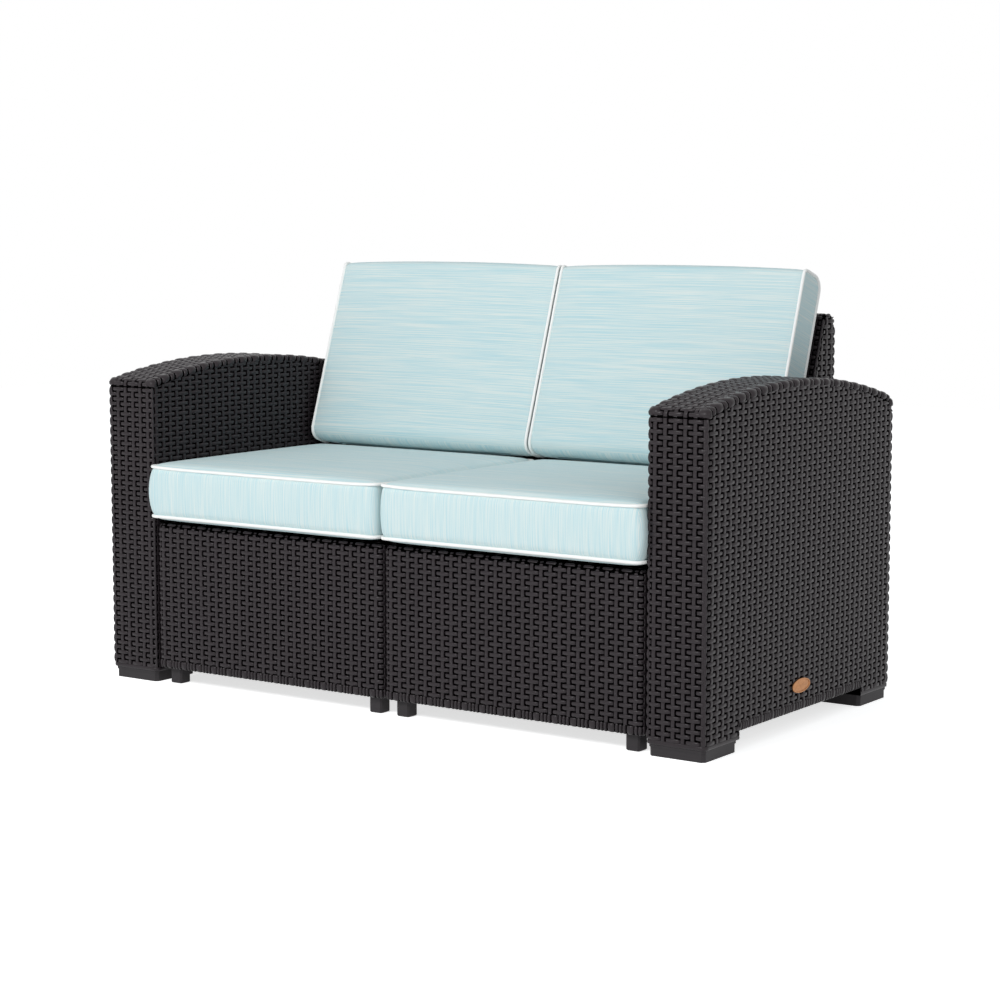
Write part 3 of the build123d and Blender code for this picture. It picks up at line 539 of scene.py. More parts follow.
def trim_under_arch(piece, drop):
    """Trim an upright side sheet along the arch, with flat cuts that follow it closely."""
    steps = 16
    for index in range(steps):
        y = ARM_FRONT + (ARM_REAR - ARM_FRONT) * (index + 0.5) / steps
        z = arch_z(y, drop)
        trim(piece, (0, y, z), (0, y - ARCH_CREST_Y, z - ARCH_CENTRE_Z))


def drop_faces(piece, unwanted):
    """Delete the faces whose middle passes a test."""
    pick(piece, unwanted, "FACE")
    bpy.ops.mesh.delete(type="FACE")
    done_editing()


def bend_along(piece, points, plane):
    """Bend a flat sheet round a path: up and over in the YZ plane, or round the corners in the XY plane."""
    path = bpy.data.curves.new("bend_path", "CURVE")
    path.dimensions = "2D"
    spline = path.splines.new("POLY")
    spline.points.add(len(points) - 1)
    for point, (along, beside) in zip(spline.points, points):
        point.co = (along, beside, 0, 1)
    guide = bpy.data.objects.new("bend_path", path)
    bpy.context.scene.collection.objects.link(guide)
    # YZ: the sheet's Y is laid along the path and its X is the width.
    # XY: the sheet's X is laid along the path and its Y is the height.
    if plane == "YZ":
        put(piece, Matrix(((0, 1, 0, 0), (0, 0, 1, 0), (1, 0, 0, 0), (0, 0, 0, 1))))
    else:
        put(piece, Matrix(((1, 0, 0, 0), (0, 0, -1, 0), (0, 1, 0, 0), (0, 0, 0, 1))))
    apply_modifier(piece, "CURVE", object=guide, deform_axis="POS_X")
    if plane == "YZ":
        put(piece, Matrix(((0, 0, 1, 0), (1, 0, 0, 0), (0, 1, 0, 0), (0, 0, 0, 1))))
    remove(guide)
    return piece


def path_length(points):
    return sum(math.dist(start, end) for start, end in zip(points, points[1:]))


def rounded_path(corners, step=math.radians(9)):
    """Points along a run of corners (y, z, radius), with an arc at each corner that has a radius."""
    points = []
    for index, (y, z, radius) in enumerate(corners):
        here = Vector((y, z))
        if radius <= 0:
            points.append((y, z))
            continue
        before = (Vector(corners[index - 1][:2]) - here).normalized()
        after = (Vector(corners[index + 1][:2]) - here).normalized()
        half = before.angle(after) / 2
        centre = here + (before + after).normalized() * radius / math.sin(half)
        start = here + before * radius / math.tan(half) - centre
        turn = (math.pi - 2 * half) * (1 if before.cross(after) < 0 else -1)
        count = max(2, round(abs(turn) / step))
        for part in range(count + 1):
            angle = turn * part / count
            points.append((
                centre.x + start.x * math.cos(angle) - start.y * math.sin(angle),
                centre.y + start.x * math.sin(angle) + start.y * math.cos(angle),
            ))
    return points


def arm_round(outer):
    """Half of the way round the arm in plan, from the middle of one end to the middle of the other."""
    middle = ARM_INNER + WARP_FROM_EDGE
    x, first, last = (ARM_OUTER, ARM_FRONT, ARM_REAR) if outer else (ARM_INNER, ARM_REAR, ARM_FRONT)
    return rounded_path([
        (middle, first, 0), (x, first, ARM_CORNER), (x, last, ARM_CORNER), (middle, last, 0)])


def cap_profile():
    """Path over the arm's cap, from its seam at the front to its seam at the rear."""
    seam = CAP_DEPTH + 1.0 * MM
    corners = [(ARM_FRONT, arch_z(ARM_FRONT) - seam, 0), (ARM_FRONT, arch_z(ARM_FRONT), 9.5 * MM)]
    steps = 24
    for index in range(1, steps):
        y = ARM_FRONT + (ARM_REAR - ARM_FRONT) * index / steps
        corners.append((y, arch_z(y), 0))
    corners += [(ARM_REAR, arch_z(ARM_REAR), 25.0 * MM), (ARM_REAR, arch_z(ARM_REAR) - CAP_REAR_DROP, 0)]
    return rounded_path(corners)


def curled(piece, radius, start):
    """Bend the part of a flat strand beyond start, along X, down round a quarter circle."""
    for vertex in piece.data.vertices:
        x, y, z = vertex.co
        past = x - start
        if past > 0:
            angle = min(past / radius, math.pi / 2)
            rest = max(0.0, past - radius * math.pi / 2)
            vertex.co = (
                start + (radius + z) * math.sin(angle), y, (radius + z) * math.cos(angle) - radius - rest,
            )
    return piece


def edge_wraps(name, path):
    """Strands that roll over one long edge of the cap, by turns a full one and a thin one."""
    size = bpy.context.scene.sofa_sizes
    wraps = []
    stations = [(-0.5, 0.55, -0.3), (-0.42, 0.85, 0.7)]
    stations += [(-0.34 + 0.68 * index / 8, 1.0, 1.0) for index in range(9)]
    stations += [(0.42, 0.9, 0.8), (0.5, 0.7, 0.2)]
    for width, height, place in ((20.0 * MM, 4.2 * MM, 0.0), (9.5 * MM, 3.0 * MM, size.column_pitch)):
        wrap = strand(name, 30.0 * MM, width, height, stations)
        curled(wrap, 6.0 * MM, 0.0)
        for vertex in wrap.data.vertices:
            # The strands lean a little along the arm as they climb over its edge.
            vertex.co.y += place + vertex.co.z * 0.35
        wraps.append(wrap)
    wrap = join(wraps, name)
    pitch = size.column_pitch * 2
    return repeated(wrap, math.ceil(path_length(path) / pitch), (0, pitch, 0))


def long_strand(name, length, width, height, steps, rows=((0.5, 0.0), (0.4, 0.75), (0.15, 1.0))):
    """Plain strand along X, divided so that it can be bent."""
    stations = [(index / steps, 1.0, 1.0) for index in range(steps + 1)]
    return strand(name, length, width, height, stations, rows)


def corner_strand(corner, outward, along, length, radius):
    """Strand up a rounded edge, swelling over every other row of the weave like a rope."""
    size = bpy.context.scene.sofa_sizes
    beads = max(1, round(length / size.row_pitch / 2))
    swell = ((0.0, 0.6, 0.3), (0.2, 0.9, 0.82), (0.5, 1.0, 1.0), (0.8, 0.9, 0.82))
    stations = [((bead + part) / beads, wide, high) for bead in range(beads) for part, wide, high in swell]
    stations.append((1.0, 0.6, 0.3))
    post = strand("post", length, 6.2 * MM, 4.2 * MM, stations, ((0.5, -0.2), (0.4, 0.6), (0.15, 1.0)))
    outward = Vector(outward).normalized()
    along = Vector(along).normalized()
    across = outward.cross(along)
    # The rounded edge stands back from the square corner.
    base = Vector(corner) - outward * (radius * (math.sqrt(2) - 1) - 0.3 * MM)
    return put(post, axes_at(base, along, across, outward))


def border_strands(name, length, tall):
    """Short upright strands over 0..length, whose lower ends curl under the edge.

    Over each two columns of the weave lie one wide strand and three narrow ones.
    """
    pitch = bpy.context.scene.sofa_sizes.column_pitch * 2
    # Even in the middle, where it is divided for its curl, and drawn in a little at both ends.
    even = [(part, 1.0, 1.0) for part in (-0.38, 0.05, 0.26, 0.4)]
    stations = [(-0.5, 0.8, 0.6)] + even + [(0.5, 0.9, 0.9)]
    posts = []
    wide, narrow = 15.0 * MM, 6.8 * MM
    for place, width in ((0.0, wide), (12.4 * MM, narrow), (20.3 * MM, narrow), (28.2 * MM, narrow)):
        post = strand(name, tall, width, 3.2 * MM, stations, ((0.5, -0.3), (0.42, 0.6), (0.2, 1.0)))
        curled(post, 5.0 * MM, tall * 0.1)
        # The strand's X runs down the panel, so it is turned to run down Y.
        post.rotation_euler = (0, 0, -math.pi / 2)
        posts.append(moved(post, (place, 0, 0)))
    post = join(posts, name)
    repeated(post, math.ceil(length / pitch), (pitch, 0, 0))
    trim(post, (length, 0, 0), (1, 0, 0))
    trim(post, (0, 0, 0), (-1, 0, 0))
    return post


# Pieces


class SofaSizes(bpy.types.PropertyGroup):
    """Sizes of the wicker and the cushions that a user would change."""
    column_pitch: FloatProperty(
        name="Column Pitch", description="Distance between neighbouring upright strips of the weave",
        default=0.0203, min=0.01, unit="LENGTH")
    row_pitch: FloatProperty(
        name="Row Pitch", description="Distance between neighbouring rows of the weave",
        default=0.01015, min=0.005, unit="LENGTH")
    bar_length: FloatProperty(
        name="Bar Length", description="Seen length of each level bar", default=0.0296, unit="LENGTH")
    bar_height: FloatProperty(
        name="Bar Height", description="Height of each level bar", default=0.0078, unit="LENGTH")
    strip_width: FloatProperty(
        name="Strip Width", description="Width of each upright strip", default=0.0078, unit="LENGTH")
    relief: FloatProperty(
        name="Relief", description="How far the bars stand proud of the panel", default=0.0031, unit="LENGTH")
    edge_margin: FloatProperty(
        name="Edge Margin", description="Room left for the corner strand at each upright edge",
        default=0.004, unit="LENGTH")


class SofaLooks(bpy.types.PropertyGroup):
    """Colours that a user would change."""
    wicker_colour: FloatVectorProperty(
        name="Wicker", description="Colour of the moulded wicker resin", subtype="COLOR_GAMMA", size=3,
        default=from_hex("#302A2D"))
    cloth_colour: FloatVectorProperty(
        name="Cushion Cloth", description="Colour of the deeper threads of the cushion cloth",
        subtype="COLOR_GAMMA", size=3, default=from_hex("#B9D8DE"))
    thread_colour: FloatVectorProperty(
        name="Pale Thread", description="Colour of the paler threads of the cushion cloth",
        subtype="COLOR_GAMMA", size=3, default=from_hex("#DBE5E3"))
    piping_colour: FloatVectorProperty(
        name="Piping", description="Colour of the corded piping", subtype="COLOR_GAMMA", size=3,
        default=from_hex("#F8F8F6"))


class SOFA_OT_woven_arms(bpy.types.Operator):
    """Weave the upright faces of both arms, with their foot lips and the borders between the feet"""
    bl_idname = "sofa.woven_arms"
    bl_label = "Woven Arms"

    def execute(self, context):
        size = context.scene.sofa_sizes
        paths = (arm_round(True), arm_round(False))
        lengths = [path_length(path) for path in paths]
        step = size.column_pitch * 2
        # The whole way round takes a whole number of bars, so the weave is eased to fit.
        ease = sum(lengths) / (round(sum(lengths) / step) * step)
        low = FOOT_TOP + LIP_HEIGHT
        for name, path, length, begun in zip(("outer", "inner"), paths, lengths, (0.0, lengths[0])):
            sheet = woven_sheet("wrap", length / ease, ARCH_CREST_Z - low, -begun / ease, 3.5 * MM)
            sheet.scale = (ease, 1, 1)
            bend_along(settle(sheet), path, "XY")
            moved(sheet, (0, 0, low))
            trim_under_arch(sheet, CAP_DEPTH - 1.0 * MM)
            trim(sheet, (0, 0, arch_z(ARM_FRONT) - CAP_DEPTH - 1.6 * MM), (0, 0, 1),
                 lambda centre, normal: centre.y < ARM_FRONT + 5.0 * MM)
            trim(sheet, (0, ARM_REAR, arch_z(ARM_REAR) - 27.0 * MM), (0, 1, 1))
            front_end = ARM_FRONT + BLOCK_LENGTH
            rear_end = ARM_REAR - BLOCK_LENGTH
            top = ARM_BELLY + BORDER_HEIGHT
            for point, normal in (
                ((0, front_end, 0), (0, 1, 0)), ((0, rear_end, 0), (0, 1, 0)), ((0, 0, top), (0, 0, 1)),
            ):
                cut(sheet, point, normal)
            drop_faces(sheet, lambda centre, normal: centre.z < top and front_end < centre.y < rear_end)
            finish_woven(sheet, "arm_right_%s_weave" % name)
        lips = []
        for first, last, y, inside in (
            (ARM_INNER, ARM_OUTER, ARM_FRONT, ARM_FRONT + BLOCK_LENGTH),
            (ARM_OUTER, ARM_INNER, ARM_REAR, ARM_REAR - BLOCK_LENGTH),
        ):
            path = rounded_path([
                (first, inside, 0), (first, y, ARM_CORNER), (last, y, ARM_CORNER), (last, inside, 0)])
            lip = long_strand("lip", path_length(path), LIP_HEIGHT + 1.5 * MM, 2.4 * MM, 90)
            bend_along(lip, path, "XY")
            lips.append(moved(lip, (0, 0, FOOT_TOP + LIP_HEIGHT / 2)))
        finish_woven(join(lips, "lips"), "arm_right_foot_lips")
        corners = []
        for x, side in ((ARM_OUTER, 1), (ARM_INNER, -1)):
            for y, end, drop in ((ARM_FRONT, -1, CAP_DEPTH + 3.0 * MM), (ARM_REAR, 1, CAP_REAR_DROP)):
                corners.append(corner_strand(
                    (x, y, low), (side, end, 0), (0, 0, 1), arch_z(y) - drop - low, ARM_CORNER))
        finish_woven(join(corners, "corners"), "arm_right_corner_strands")
        borders = []
        for x, start, across, outward in (
            (ARM_OUTER, ARM_FRONT + BLOCK_LENGTH, 1, 1), (ARM_INNER, ARM_REAR - BLOCK_LENGTH, -1, -1),
        ):
            border = border_strands("border", ARM_REAR - ARM_FRONT - BLOCK_LENGTH * 2, BORDER_HEIGHT)
            place = (x, start + across * 2.0 * MM, ARM_BELLY + BORDER_MIDDLE)
            borders.append(stand_up(border, place, (0, across, 0), (outward, 0, 0)))
        finish_woven(join(borders, "borders"), "arm_right_belly_border")
        return {"FINISHED"}


class SOFA_OT_woven_caps(bpy.types.Operator):
    """Weave the arched caps of both arms, with the strands that roll over their edges"""
    bl_idname = "sofa.woven_caps"
    bl_label = "Woven Caps"

    def execute(self, context):
        size = context.scene.sofa_sizes
        width = ARM_OUTER - ARM_INNER
        path = cap_profile()
        margin = 12.0 * MM
        band = woven_sheet(
            "band", width - margin * 2, path_length(path), WARP_FROM_EDGE - margin, size.row_pitch * 0.5)
        bend_along(moved(band, (ARM_INNER + margin, 0, 0)), path, "YZ")
        finish_woven(band, "arm_right_cap_weave")
        wraps = edge_wraps("wraps", path)
        moved(wraps, (ARM_OUTER - 6.0 * MM, 10.5 * MM, 0))
        trim(wraps, (0, path_length(path), 0), (0, 1, 0))
        inner = copy_of(wraps, "wraps_inner")
        inner.scale = (-1, 1, 1)
        turned_over(moved(inner, (ARM_OUTER + ARM_INNER, 0, 0)))
        wraps = bend_along(join([wraps, inner], "wraps"), path, "YZ")
        finish_woven(wraps, "arm_right_cap_edges")
        return {"FINISHED"}


def module_path(front):
    """Path in plan round the front or rear of the right seat module, with its rounded corners."""
    turn_in = 20.0 * MM
    y = SKIRT_LOW.y if front else SKIRT_HIGH.y
    inside = y + turn_in if front else y - turn_in
    corners = [
        (SKIRT_LOW.x, inside, 0), (SKIRT_LOW.x, y, MODULE_CORNER),
        (SKIRT_HIGH.x, y, MODULE_CORNER), (SKIRT_HIGH.x, inside, 0),
    ]
    return rounded_path(corners if front else corners[::-1])


def back_face_y(z):
    """Depth of the raked front face of the back rest at a height."""
    return REAR_HIGH.y - BACK_TOP_DEPTH - (REAR_HIGH.z - z) * math.tan(RAKE)


def back_profile():
    """Path up the rear of the back rest, over its top and down its raked front."""
    corners = [
        (REAR_HIGH.y, BACK_FOOT, 0), (REAR_HIGH.y, REAR_HIGH.z, 15.0 * MM),
        (REAR_HIGH.y - BACK_TOP_DEPTH, REAR_HIGH.z, 9.0 * MM), (back_face_y(BACK_FOOT), BACK_FOOT, 0),
    ]
    # The band's outside is to the left of its path, so it runs down the front first.
    return rounded_path(corners[::-1])


class SOFA_OT_woven_bases(bpy.types.Operator):
    """Weave the front and rear of both seat modules, with their curled borders and rims"""
    bl_idname = "sofa.woven_bases"
    bl_label = "Woven Bases"

    def execute(self, context):
        size = context.scene.sofa_sizes
        low = SKIRT_LOW.z + BORDER_HEIGHT
        for front, end in ((True, "front"), (False, "rear")):
            path = module_path(front)
            top = SKIRT_HIGH.z - (RIM_RADIUS - RIM_RADIUS * math.pi / 2 - 9.0 * MM if front else 3.0 * MM)
            sheet = woven_sheet(
                "sheet", path_length(path), top - low, size.column_pitch * 0.5, size.row_pitch * 0.5)
            bend_along(sheet, path, "XY")
            moved(sheet, (0, 0, low))
            if front:
                rolled_over(sheet)
            finish_woven(sheet, "base_right_%s_weave" % end)
            border = border_strands("border", path_length(path), BORDER_HEIGHT)
            bend_along(border, path, "XY")
            moved(border, (0, 0, SKIRT_LOW.z + BORDER_MIDDLE))
            finish_woven(border, "base_right_%s_border" % end)
        return {"FINISHED"}


def rolled_over(piece):
    """Roll the top of the front weave inwards over the module's rim, round its corners too."""
    begin = SKIRT_HIGH.z - 2.4 * MM - RIM_RADIUS
    for vertex in piece.data.vertices:
        past = vertex.co.z - begin
        if past > 0:
            # The middle of the corner's arc, or the point straight behind the face.
            core = Vector((
                min(max(vertex.co.x, SKIRT_LOW.x + MODULE_CORNER), SKIRT_HIGH.x - MODULE_CORNER),
                max(vertex.co.y, SKIRT_LOW.y + MODULE_CORNER), 0,
            ))
            outward = Vector((vertex.co.x, vertex.co.y, 0)) - core
            relief = outward.length - MODULE_CORNER
            angle = min(past / RIM_RADIUS, math.pi / 2)
            flat = max(0.0, past - RIM_RADIUS * math.pi / 2)
            reach = MODULE_CORNER - RIM_RADIUS + (RIM_RADIUS + relief) * math.cos(angle) - flat
            place = core + outward.normalized() * max(reach, 0.3 * MM)
            vertex.co = (place.x, place.y, begin + (RIM_RADIUS + relief) * math.sin(angle))


class SOFA_OT_oval_plate(bpy.types.Operator):
    """Set the bare oval plate low on the outer side of the right arm"""
    bl_idname = "sofa.oval_plate"
    bl_label = "Oval Plate"

    def execute(self, context):
        deselect_all()
        bpy.ops.mesh.primitive_circle_add(vertices=48, radius=1.0, fill_type="NGON")
        plate = context.object
        plate.name = "arm_right_oval_plate"
        plate.scale = (34.5 * MM, 13.5 * MM, 1)
        settle(plate)
        pick(plate, lambda centre, normal: True, "FACE")
        bpy.ops.mesh.extrude_region_move(TRANSFORM_OT_translate={"value": (0, 0, 2.2 * MM)})
        # Rounded edge, flat rim, step down to the field and the field's slight swell: inset, then rise
        for inset, rise in ((0.5, 0.4), (1.8, 0.0), (0.5, -1.1), (3.0, 0.3)):
            bpy.ops.mesh.inset(thickness=inset * MM)
            if rise:
                bpy.ops.transform.translate(value=(0, 0, rise * MM))
        done_editing()
        stand_up(plate, (ARM_OUTER + 2.2 * MM, -4.5 * MM, 84.5 * MM), (0, 1, 0), (1, 0, 0))
        finish_piece(plate, "bronze", BODY, 30)
        return {"FINISHED"}


class SOFA_OT_woven_backs(bpy.types.Operator):
    """Weave the front, top, rear and outer side of both back rests"""
    bl_idname = "sofa.woven_backs"
    bl_label = "Woven Backs"

    def execute(self, context):
        size = context.scene.sofa_sizes
        path = back_profile()
        width = BACK_HIGH.x - BACK_LOW.x
        band = woven_sheet("band", width - size.edge_margin * 2, path_length(path), size.column_pitch * 0.4,
                           size.row_pitch * 0.5)
        bend_along(moved(band, (BACK_LOW.x + size.edge_margin, 0, 0)), path, "YZ")
        finish_woven(band, "back_right_band_weave")
        low = BACK_FOOT
        reach = REAR_HIGH.y - back_face_y(low)
        sheet = woven_sheet("side", reach, REAR_HIGH.z - low, size.column_pitch * 0.5, size.row_pitch * 0.5)
        stand_up(sheet, (BACK_HIGH.x, back_face_y(low), low), (0, 1, 0), (1, 0, 0))
        margin = size.edge_margin
        trim(sheet, (0, REAR_HIGH.y - margin, 0), (0, 1, 0))
        trim(sheet, (0, 0, REAR_HIGH.z - margin), (0, 0, 1))
        trim(sheet, (0, back_face_y(low) + margin, low), (0, -math.cos(RAKE), math.sin(RAKE)))
        finish_woven(sheet, "back_right_side_weave")
        lean = Vector((0, math.sin(RAKE), math.cos(RAKE)))
        tall = REAR_HIGH.z - low - 8.0 * MM
        corners = []
        for x, side in ((BACK_HIGH.x, 1), (BACK_LOW.x, -1)):
            corners.append(corner_strand(
                (x, back_face_y(low), low), (side, -math.cos(RAKE), math.sin(RAKE)), lean,
                tall / math.cos(RAKE), BACK_CORNER))
            corners.append(corner_strand(
                (x, REAR_HIGH.y, low), (side, 1, 0), (0, 0, 1), tall - 15.0 * MM, BACK_CORNER))
            corners.append(corner_strand(
                (x, REAR_HIGH.y - BACK_TOP_DEPTH + 7.0 * MM, REAR_HIGH.z), (side, 0, 1), (0, 1, 0),
                BACK_TOP_DEPTH - 22.0 * MM, BACK_CORNER))
        finish_woven(join(corners, "corners"), "back_right_corner_strands")
        return {"FINISHED"}


# Cushions


def boxed_form(name, width, length, height, corners, pull_in):
    """Closed form, two rounded panels along X and Y joined by a strip along Z, ruled in even cells.

    The corner radii are for low X low Y, high X low Y, low X high Y and high X high Y.
    """
    deselect_all()
    bpy.ops.mesh.primitive_grid_add(
        x_subdivisions=round(width / CLOTH_CELL), y_subdivisions=round(length / CLOTH_CELL), size=1)
    panel = bpy.context.object
    panel.name = name
    panel.scale = (width, length, 1)
    settle(panel)
    for vertex in panel.data.vertices:
        x, y = vertex.co.xy
        # Round the panel's corners, then draw its sides in between them, as a sewn seam does.
        corner = corners[(1 if x > 0 else 0) + (2 if y > 0 else 0)]
        deep_x = max(0.0, abs(x) - (width / 2 - corner)) / corner
        deep_y = max(0.0, abs(y) - (length / 2 - corner)) / corner
        if deep_x > 0 and deep_y > 0:
            share = max(deep_x, deep_y) / math.hypot(deep_x, deep_y)
            x = math.copysign(width / 2 - corner + deep_x * share * corner, x)
            y = math.copysign(length / 2 - corner + deep_y * share * corner, y)
        across = x * 2 / width
        along = y * 2 / length
        vertex.co = (
            x - pull_in * across * abs(across) * (1 - along * along),
            y - pull_in * along * abs(along) * (1 - across * across), height / 2,
        )
    other = copy_of(panel, name + "_under")
    turned_over(moved(other, (0, 0, -height)))
    steps = max(4, round(height / CLOTH_CELL))
    edit_all(panel)
    bpy.ops.mesh.region_to_loop()
    for _ in range(steps):
        bpy.ops.mesh.extrude_edges_move(TRANSFORM_OT_translate={"value": (0, 0, -height / steps)})
    done_editing()
    return merged(join([panel, other], name), 0.2 * MM)


def seam_vertices(form, height):
    """Numbers of the vertices on the two seams, where the strip meets the panels."""
    mesh = form.data
    flat = set()
    upright = set()
    for face in mesh.polygons:
        side = flat if abs(face.normal.z) > 0.9 else upright
        side.update(face.vertices)
    return [index for index in flat & upright if abs(abs(mesh.vertices[index].co.z) - height / 2) < 0.0005]


def eased(move, limit):
    """Move held back more and more as it nears its limit."""
    return limit * math.tanh(move / limit) if limit > 0 else 0.0


def fill_out(form, limits, seams, fullness=(0.45, 0.45)):
    """Swell a form with cloth under pressure, with its seams held; each way out has its limit in mm.

    Fullness below 1 lifts the cloth close to its seams, as a well-stuffed cushion does.
    """
    mesh = form.data
    starts = [vertex.co.copy() for vertex in mesh.vertices]
    normals = [vertex.normal.copy() for vertex in mesh.vertices]
    held = form.vertex_groups.new(name="held_seams")
    held.add(seams, 1.0, "REPLACE")
    make_active(form)
    cloth = form.modifiers.new("Cloth", "CLOTH")
    for key, value in {
        "quality": 5, "mass": 0.3, "tension_stiffness": 12, "compression_stiffness": 12,
        "shear_stiffness": 5, "bending_stiffness": 1.5, "use_pressure": True,
        "uniform_pressure_force": 4.0, "vertex_group_mass": held.name,
    }.items():
        setattr(cloth.settings, key, value)
    cloth.settings.effector_weights.gravity = 0.0
    cloth.collision_settings.use_collision = False
    cloth.collision_settings.use_self_collision = False
    scene = bpy.context.scene
    for step in range(1, 21):
        scene.frame_set(step)
    bpy.ops.object.modifier_apply(modifier=cloth.name)
    scene.frame_set(1)
    form.vertex_groups.clear()
    moves = [vertex.co - start for vertex, start in zip(mesh.vertices, starts)]
    linked = [[] for start in starts]
    for edge in mesh.edges:
        first, second = edge.vertices
        linked[first].append(second)
        linked[second].append(first)
    fixed = set(seams)
    for _ in range(8):
        # Small wrinkles are eased out before the cloth is filled further.
        moves = [
            move if index in fixed
            else sum((moves[near] for near in linked[index]), move) / (len(linked[index]) + 1)
            for index, move in enumerate(moves)
        ]
    depth = max(start.z for start in starts)
    for axis in range(3):
        for side, limit in zip((-1, 1), (most * MM for most in limits[axis])):
            facing = [index for index, start in enumerate(starts) if start[axis] * side > 0]
            outer = [moves[index][axis] * side for index in facing if normals[index][axis] * side > 0.5]
            peak = max(0.001, max(outer))
            for index in facing:
                move = moves[index][axis] * side
                lean = abs(normals[index][axis])
                if move > 0:
                    full = limit * min(1.0, move / peak) ** fullness[side > 0]
                    share = min(1.0, max(0.0, (lean - 0.3) / 0.4))
                    move = full * share + eased(move, limit) * (1 - share)
                if axis < 2 and abs(normals[index].z) < 0.5:
                    # The strip swells between its two seams, round the corners too.
                    crown = max(0.0, 1 - (starts[index].z / depth) ** 2) ** 0.5
                    move = max(move, limit * crown * lean * 0.95)
                moves[index][axis] = move * side
    for vertex, start, move in zip(mesh.vertices, starts, moves):
        vertex.co = start + move
    return form


def welt_round(form, name, seam):
    """Corded piping along a closed seam, given as the numbers of its vertices."""
    chosen = set(seam)
    strip = copy_of(form, name)
    pick(strip, lambda place: False)
    bpy.ops.object.mode_set(mode="OBJECT")
    for vertex in strip.data.vertices:
        vertex.select = vertex.index not in chosen
    bpy.ops.object.mode_set(mode="EDIT")
    bpy.ops.mesh.delete(type="VERT")
    done_editing()
    make_active(strip)
    bpy.ops.object.convert(target="CURVE")
    cord = bpy.context.object
    cord.data.bevel_depth = WELT / 2
    cord.data.bevel_resolution = 2
    cord.data.use_fill_caps = True
    bpy.ops.object.convert(target="MESH")
    cord = bpy.context.object
    cord.name = name
    cord.data.name = name
    return merged(cord, 0.1 * MM)


def sewn_welts(form, name, seams, ends, stretch, outward, place):
    """Piping along both seams of a cushion, stretched and shifted to lie outside the cloth."""
    welts = []
    for end, side in zip(ends, (-1, 1)):
        chosen = [index for index in seams if form.data.vertices[index].co.z * side > 0]
        cord = welt_round(form, "%s_welt_%s" % (name, end), chosen)
        cord.scale = stretch
        moved(cord, (0, 0, outward * side))
        welts.append(put(cord, place))
    return welts


class SOFA_OT_seat_cushions(bpy.types.Operator):
    """Sew and fill the two boxed seat cushions with their piping"""
    bl_idname = "sofa.seat_cushions"
    bl_label = "Seat Cushions"

    def execute(self, context):
        low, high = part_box("seat_cushion_right_cover")
        seam_low, seam_high = 349.0 * MM, 445.2 * MM
        inset = 5.0 * MM
        width = high.x - low.x - inset * 2
        # The front leans a little out over the rim, as the soft cover does.
        length = high.y - low.y - inset * 2 + FRONT_OVERHANG
        height = seam_high - seam_low
        form = boxed_form("seat_cushion_right", width, length, height, (16.0 * MM,) * 4, 2.0 * MM)
        seams = seam_vertices(form, height)
        fill_out(form, ((5, 5), (9, 5), (14.3, 17.7)), seams, (0.2, 0.3))
        for vertex in form.data.vertices:
            x, y, z = vertex.co
            # The front corner by the arm swells past it, and the corners of the upper panel turn up a little.
            near_front = min(1.0, max(0.0, (-y - (length / 2 - 45.0 * MM)) / (40.0 * MM)))
            crown = max(0.0, 1 - (z * 2 / height) ** 2)
            swell = (7.0 if x > 0 else -1.0) * MM
            vertex.co.x += swell * near_front ** 2 * crown * min(1.0, abs(x) * 4 / width)
            corner = (abs(x) * 2 / width) ** 6 * (abs(y) * 2 / length) ** 6
            vertex.co.z += 3.0 * MM * corner * max(0.0, min(1.0, z * 2 / height))
        centre = Vector((
            (low.x + high.x) / 2, (low.y + high.y - FRONT_OVERHANG) / 2, (seam_low + seam_high) / 2))
        place = Matrix.Translation(centre)
        welts = sewn_welts(
            form, "seat_cushion_right", seams, ("lower", "upper"),
            (1 + 4.4 * MM / width, 1 + 4.4 * MM / length, 1), 1.2 * MM, place)
        put(form, place)
        cover, twin = finish_cushion(
            form, "seat_cushion_right", ("cloth_y", "cloth_x", "cloth_y"),
            lambda normal: 0 if abs(normal.z) > 0.6 else 1 if abs(normal.y) > abs(normal.x) else 2)
        for piece in (cover, twin):
            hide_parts(piece.name + "_cover", piece.name + "_foam")
        zips = sewn_zip(
            cover, "seat_cushion_right_zipper", (centre.x, high.y, centre.z), (-1, 0, 0), (0, 1, 0),
            width - ZIP_MARGINS)
        for piece in zips:
            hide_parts(piece.name.replace("_zipper", "_zip"))
        for cord in welts:
            pair = finish_both(cord, cord.name, "piping", "seat_cushion_right", 60)
            if "upper" in cord.name:
                for piece in pair:
                    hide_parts(piece.name.replace("_welt_upper", "_piping"))
        return {"FINISHED"}


def finish_cushion(form, name, cloths, cloth_for):
    """Round off a cushion, cut its cloths by the way its faces look, and mirror it for the left half."""
    apply_modifier(form, "SUBSURF", levels=1, render_levels=1)
    pair = finish_both(form, name, cloths[0], name, 180)
    for piece in pair:
        for key in cloths[1:]:
            piece.data.materials.append(material_of(key))
        for face in piece.data.polygons:
            face.material_index = cloth_for(face.normal)
    return pair


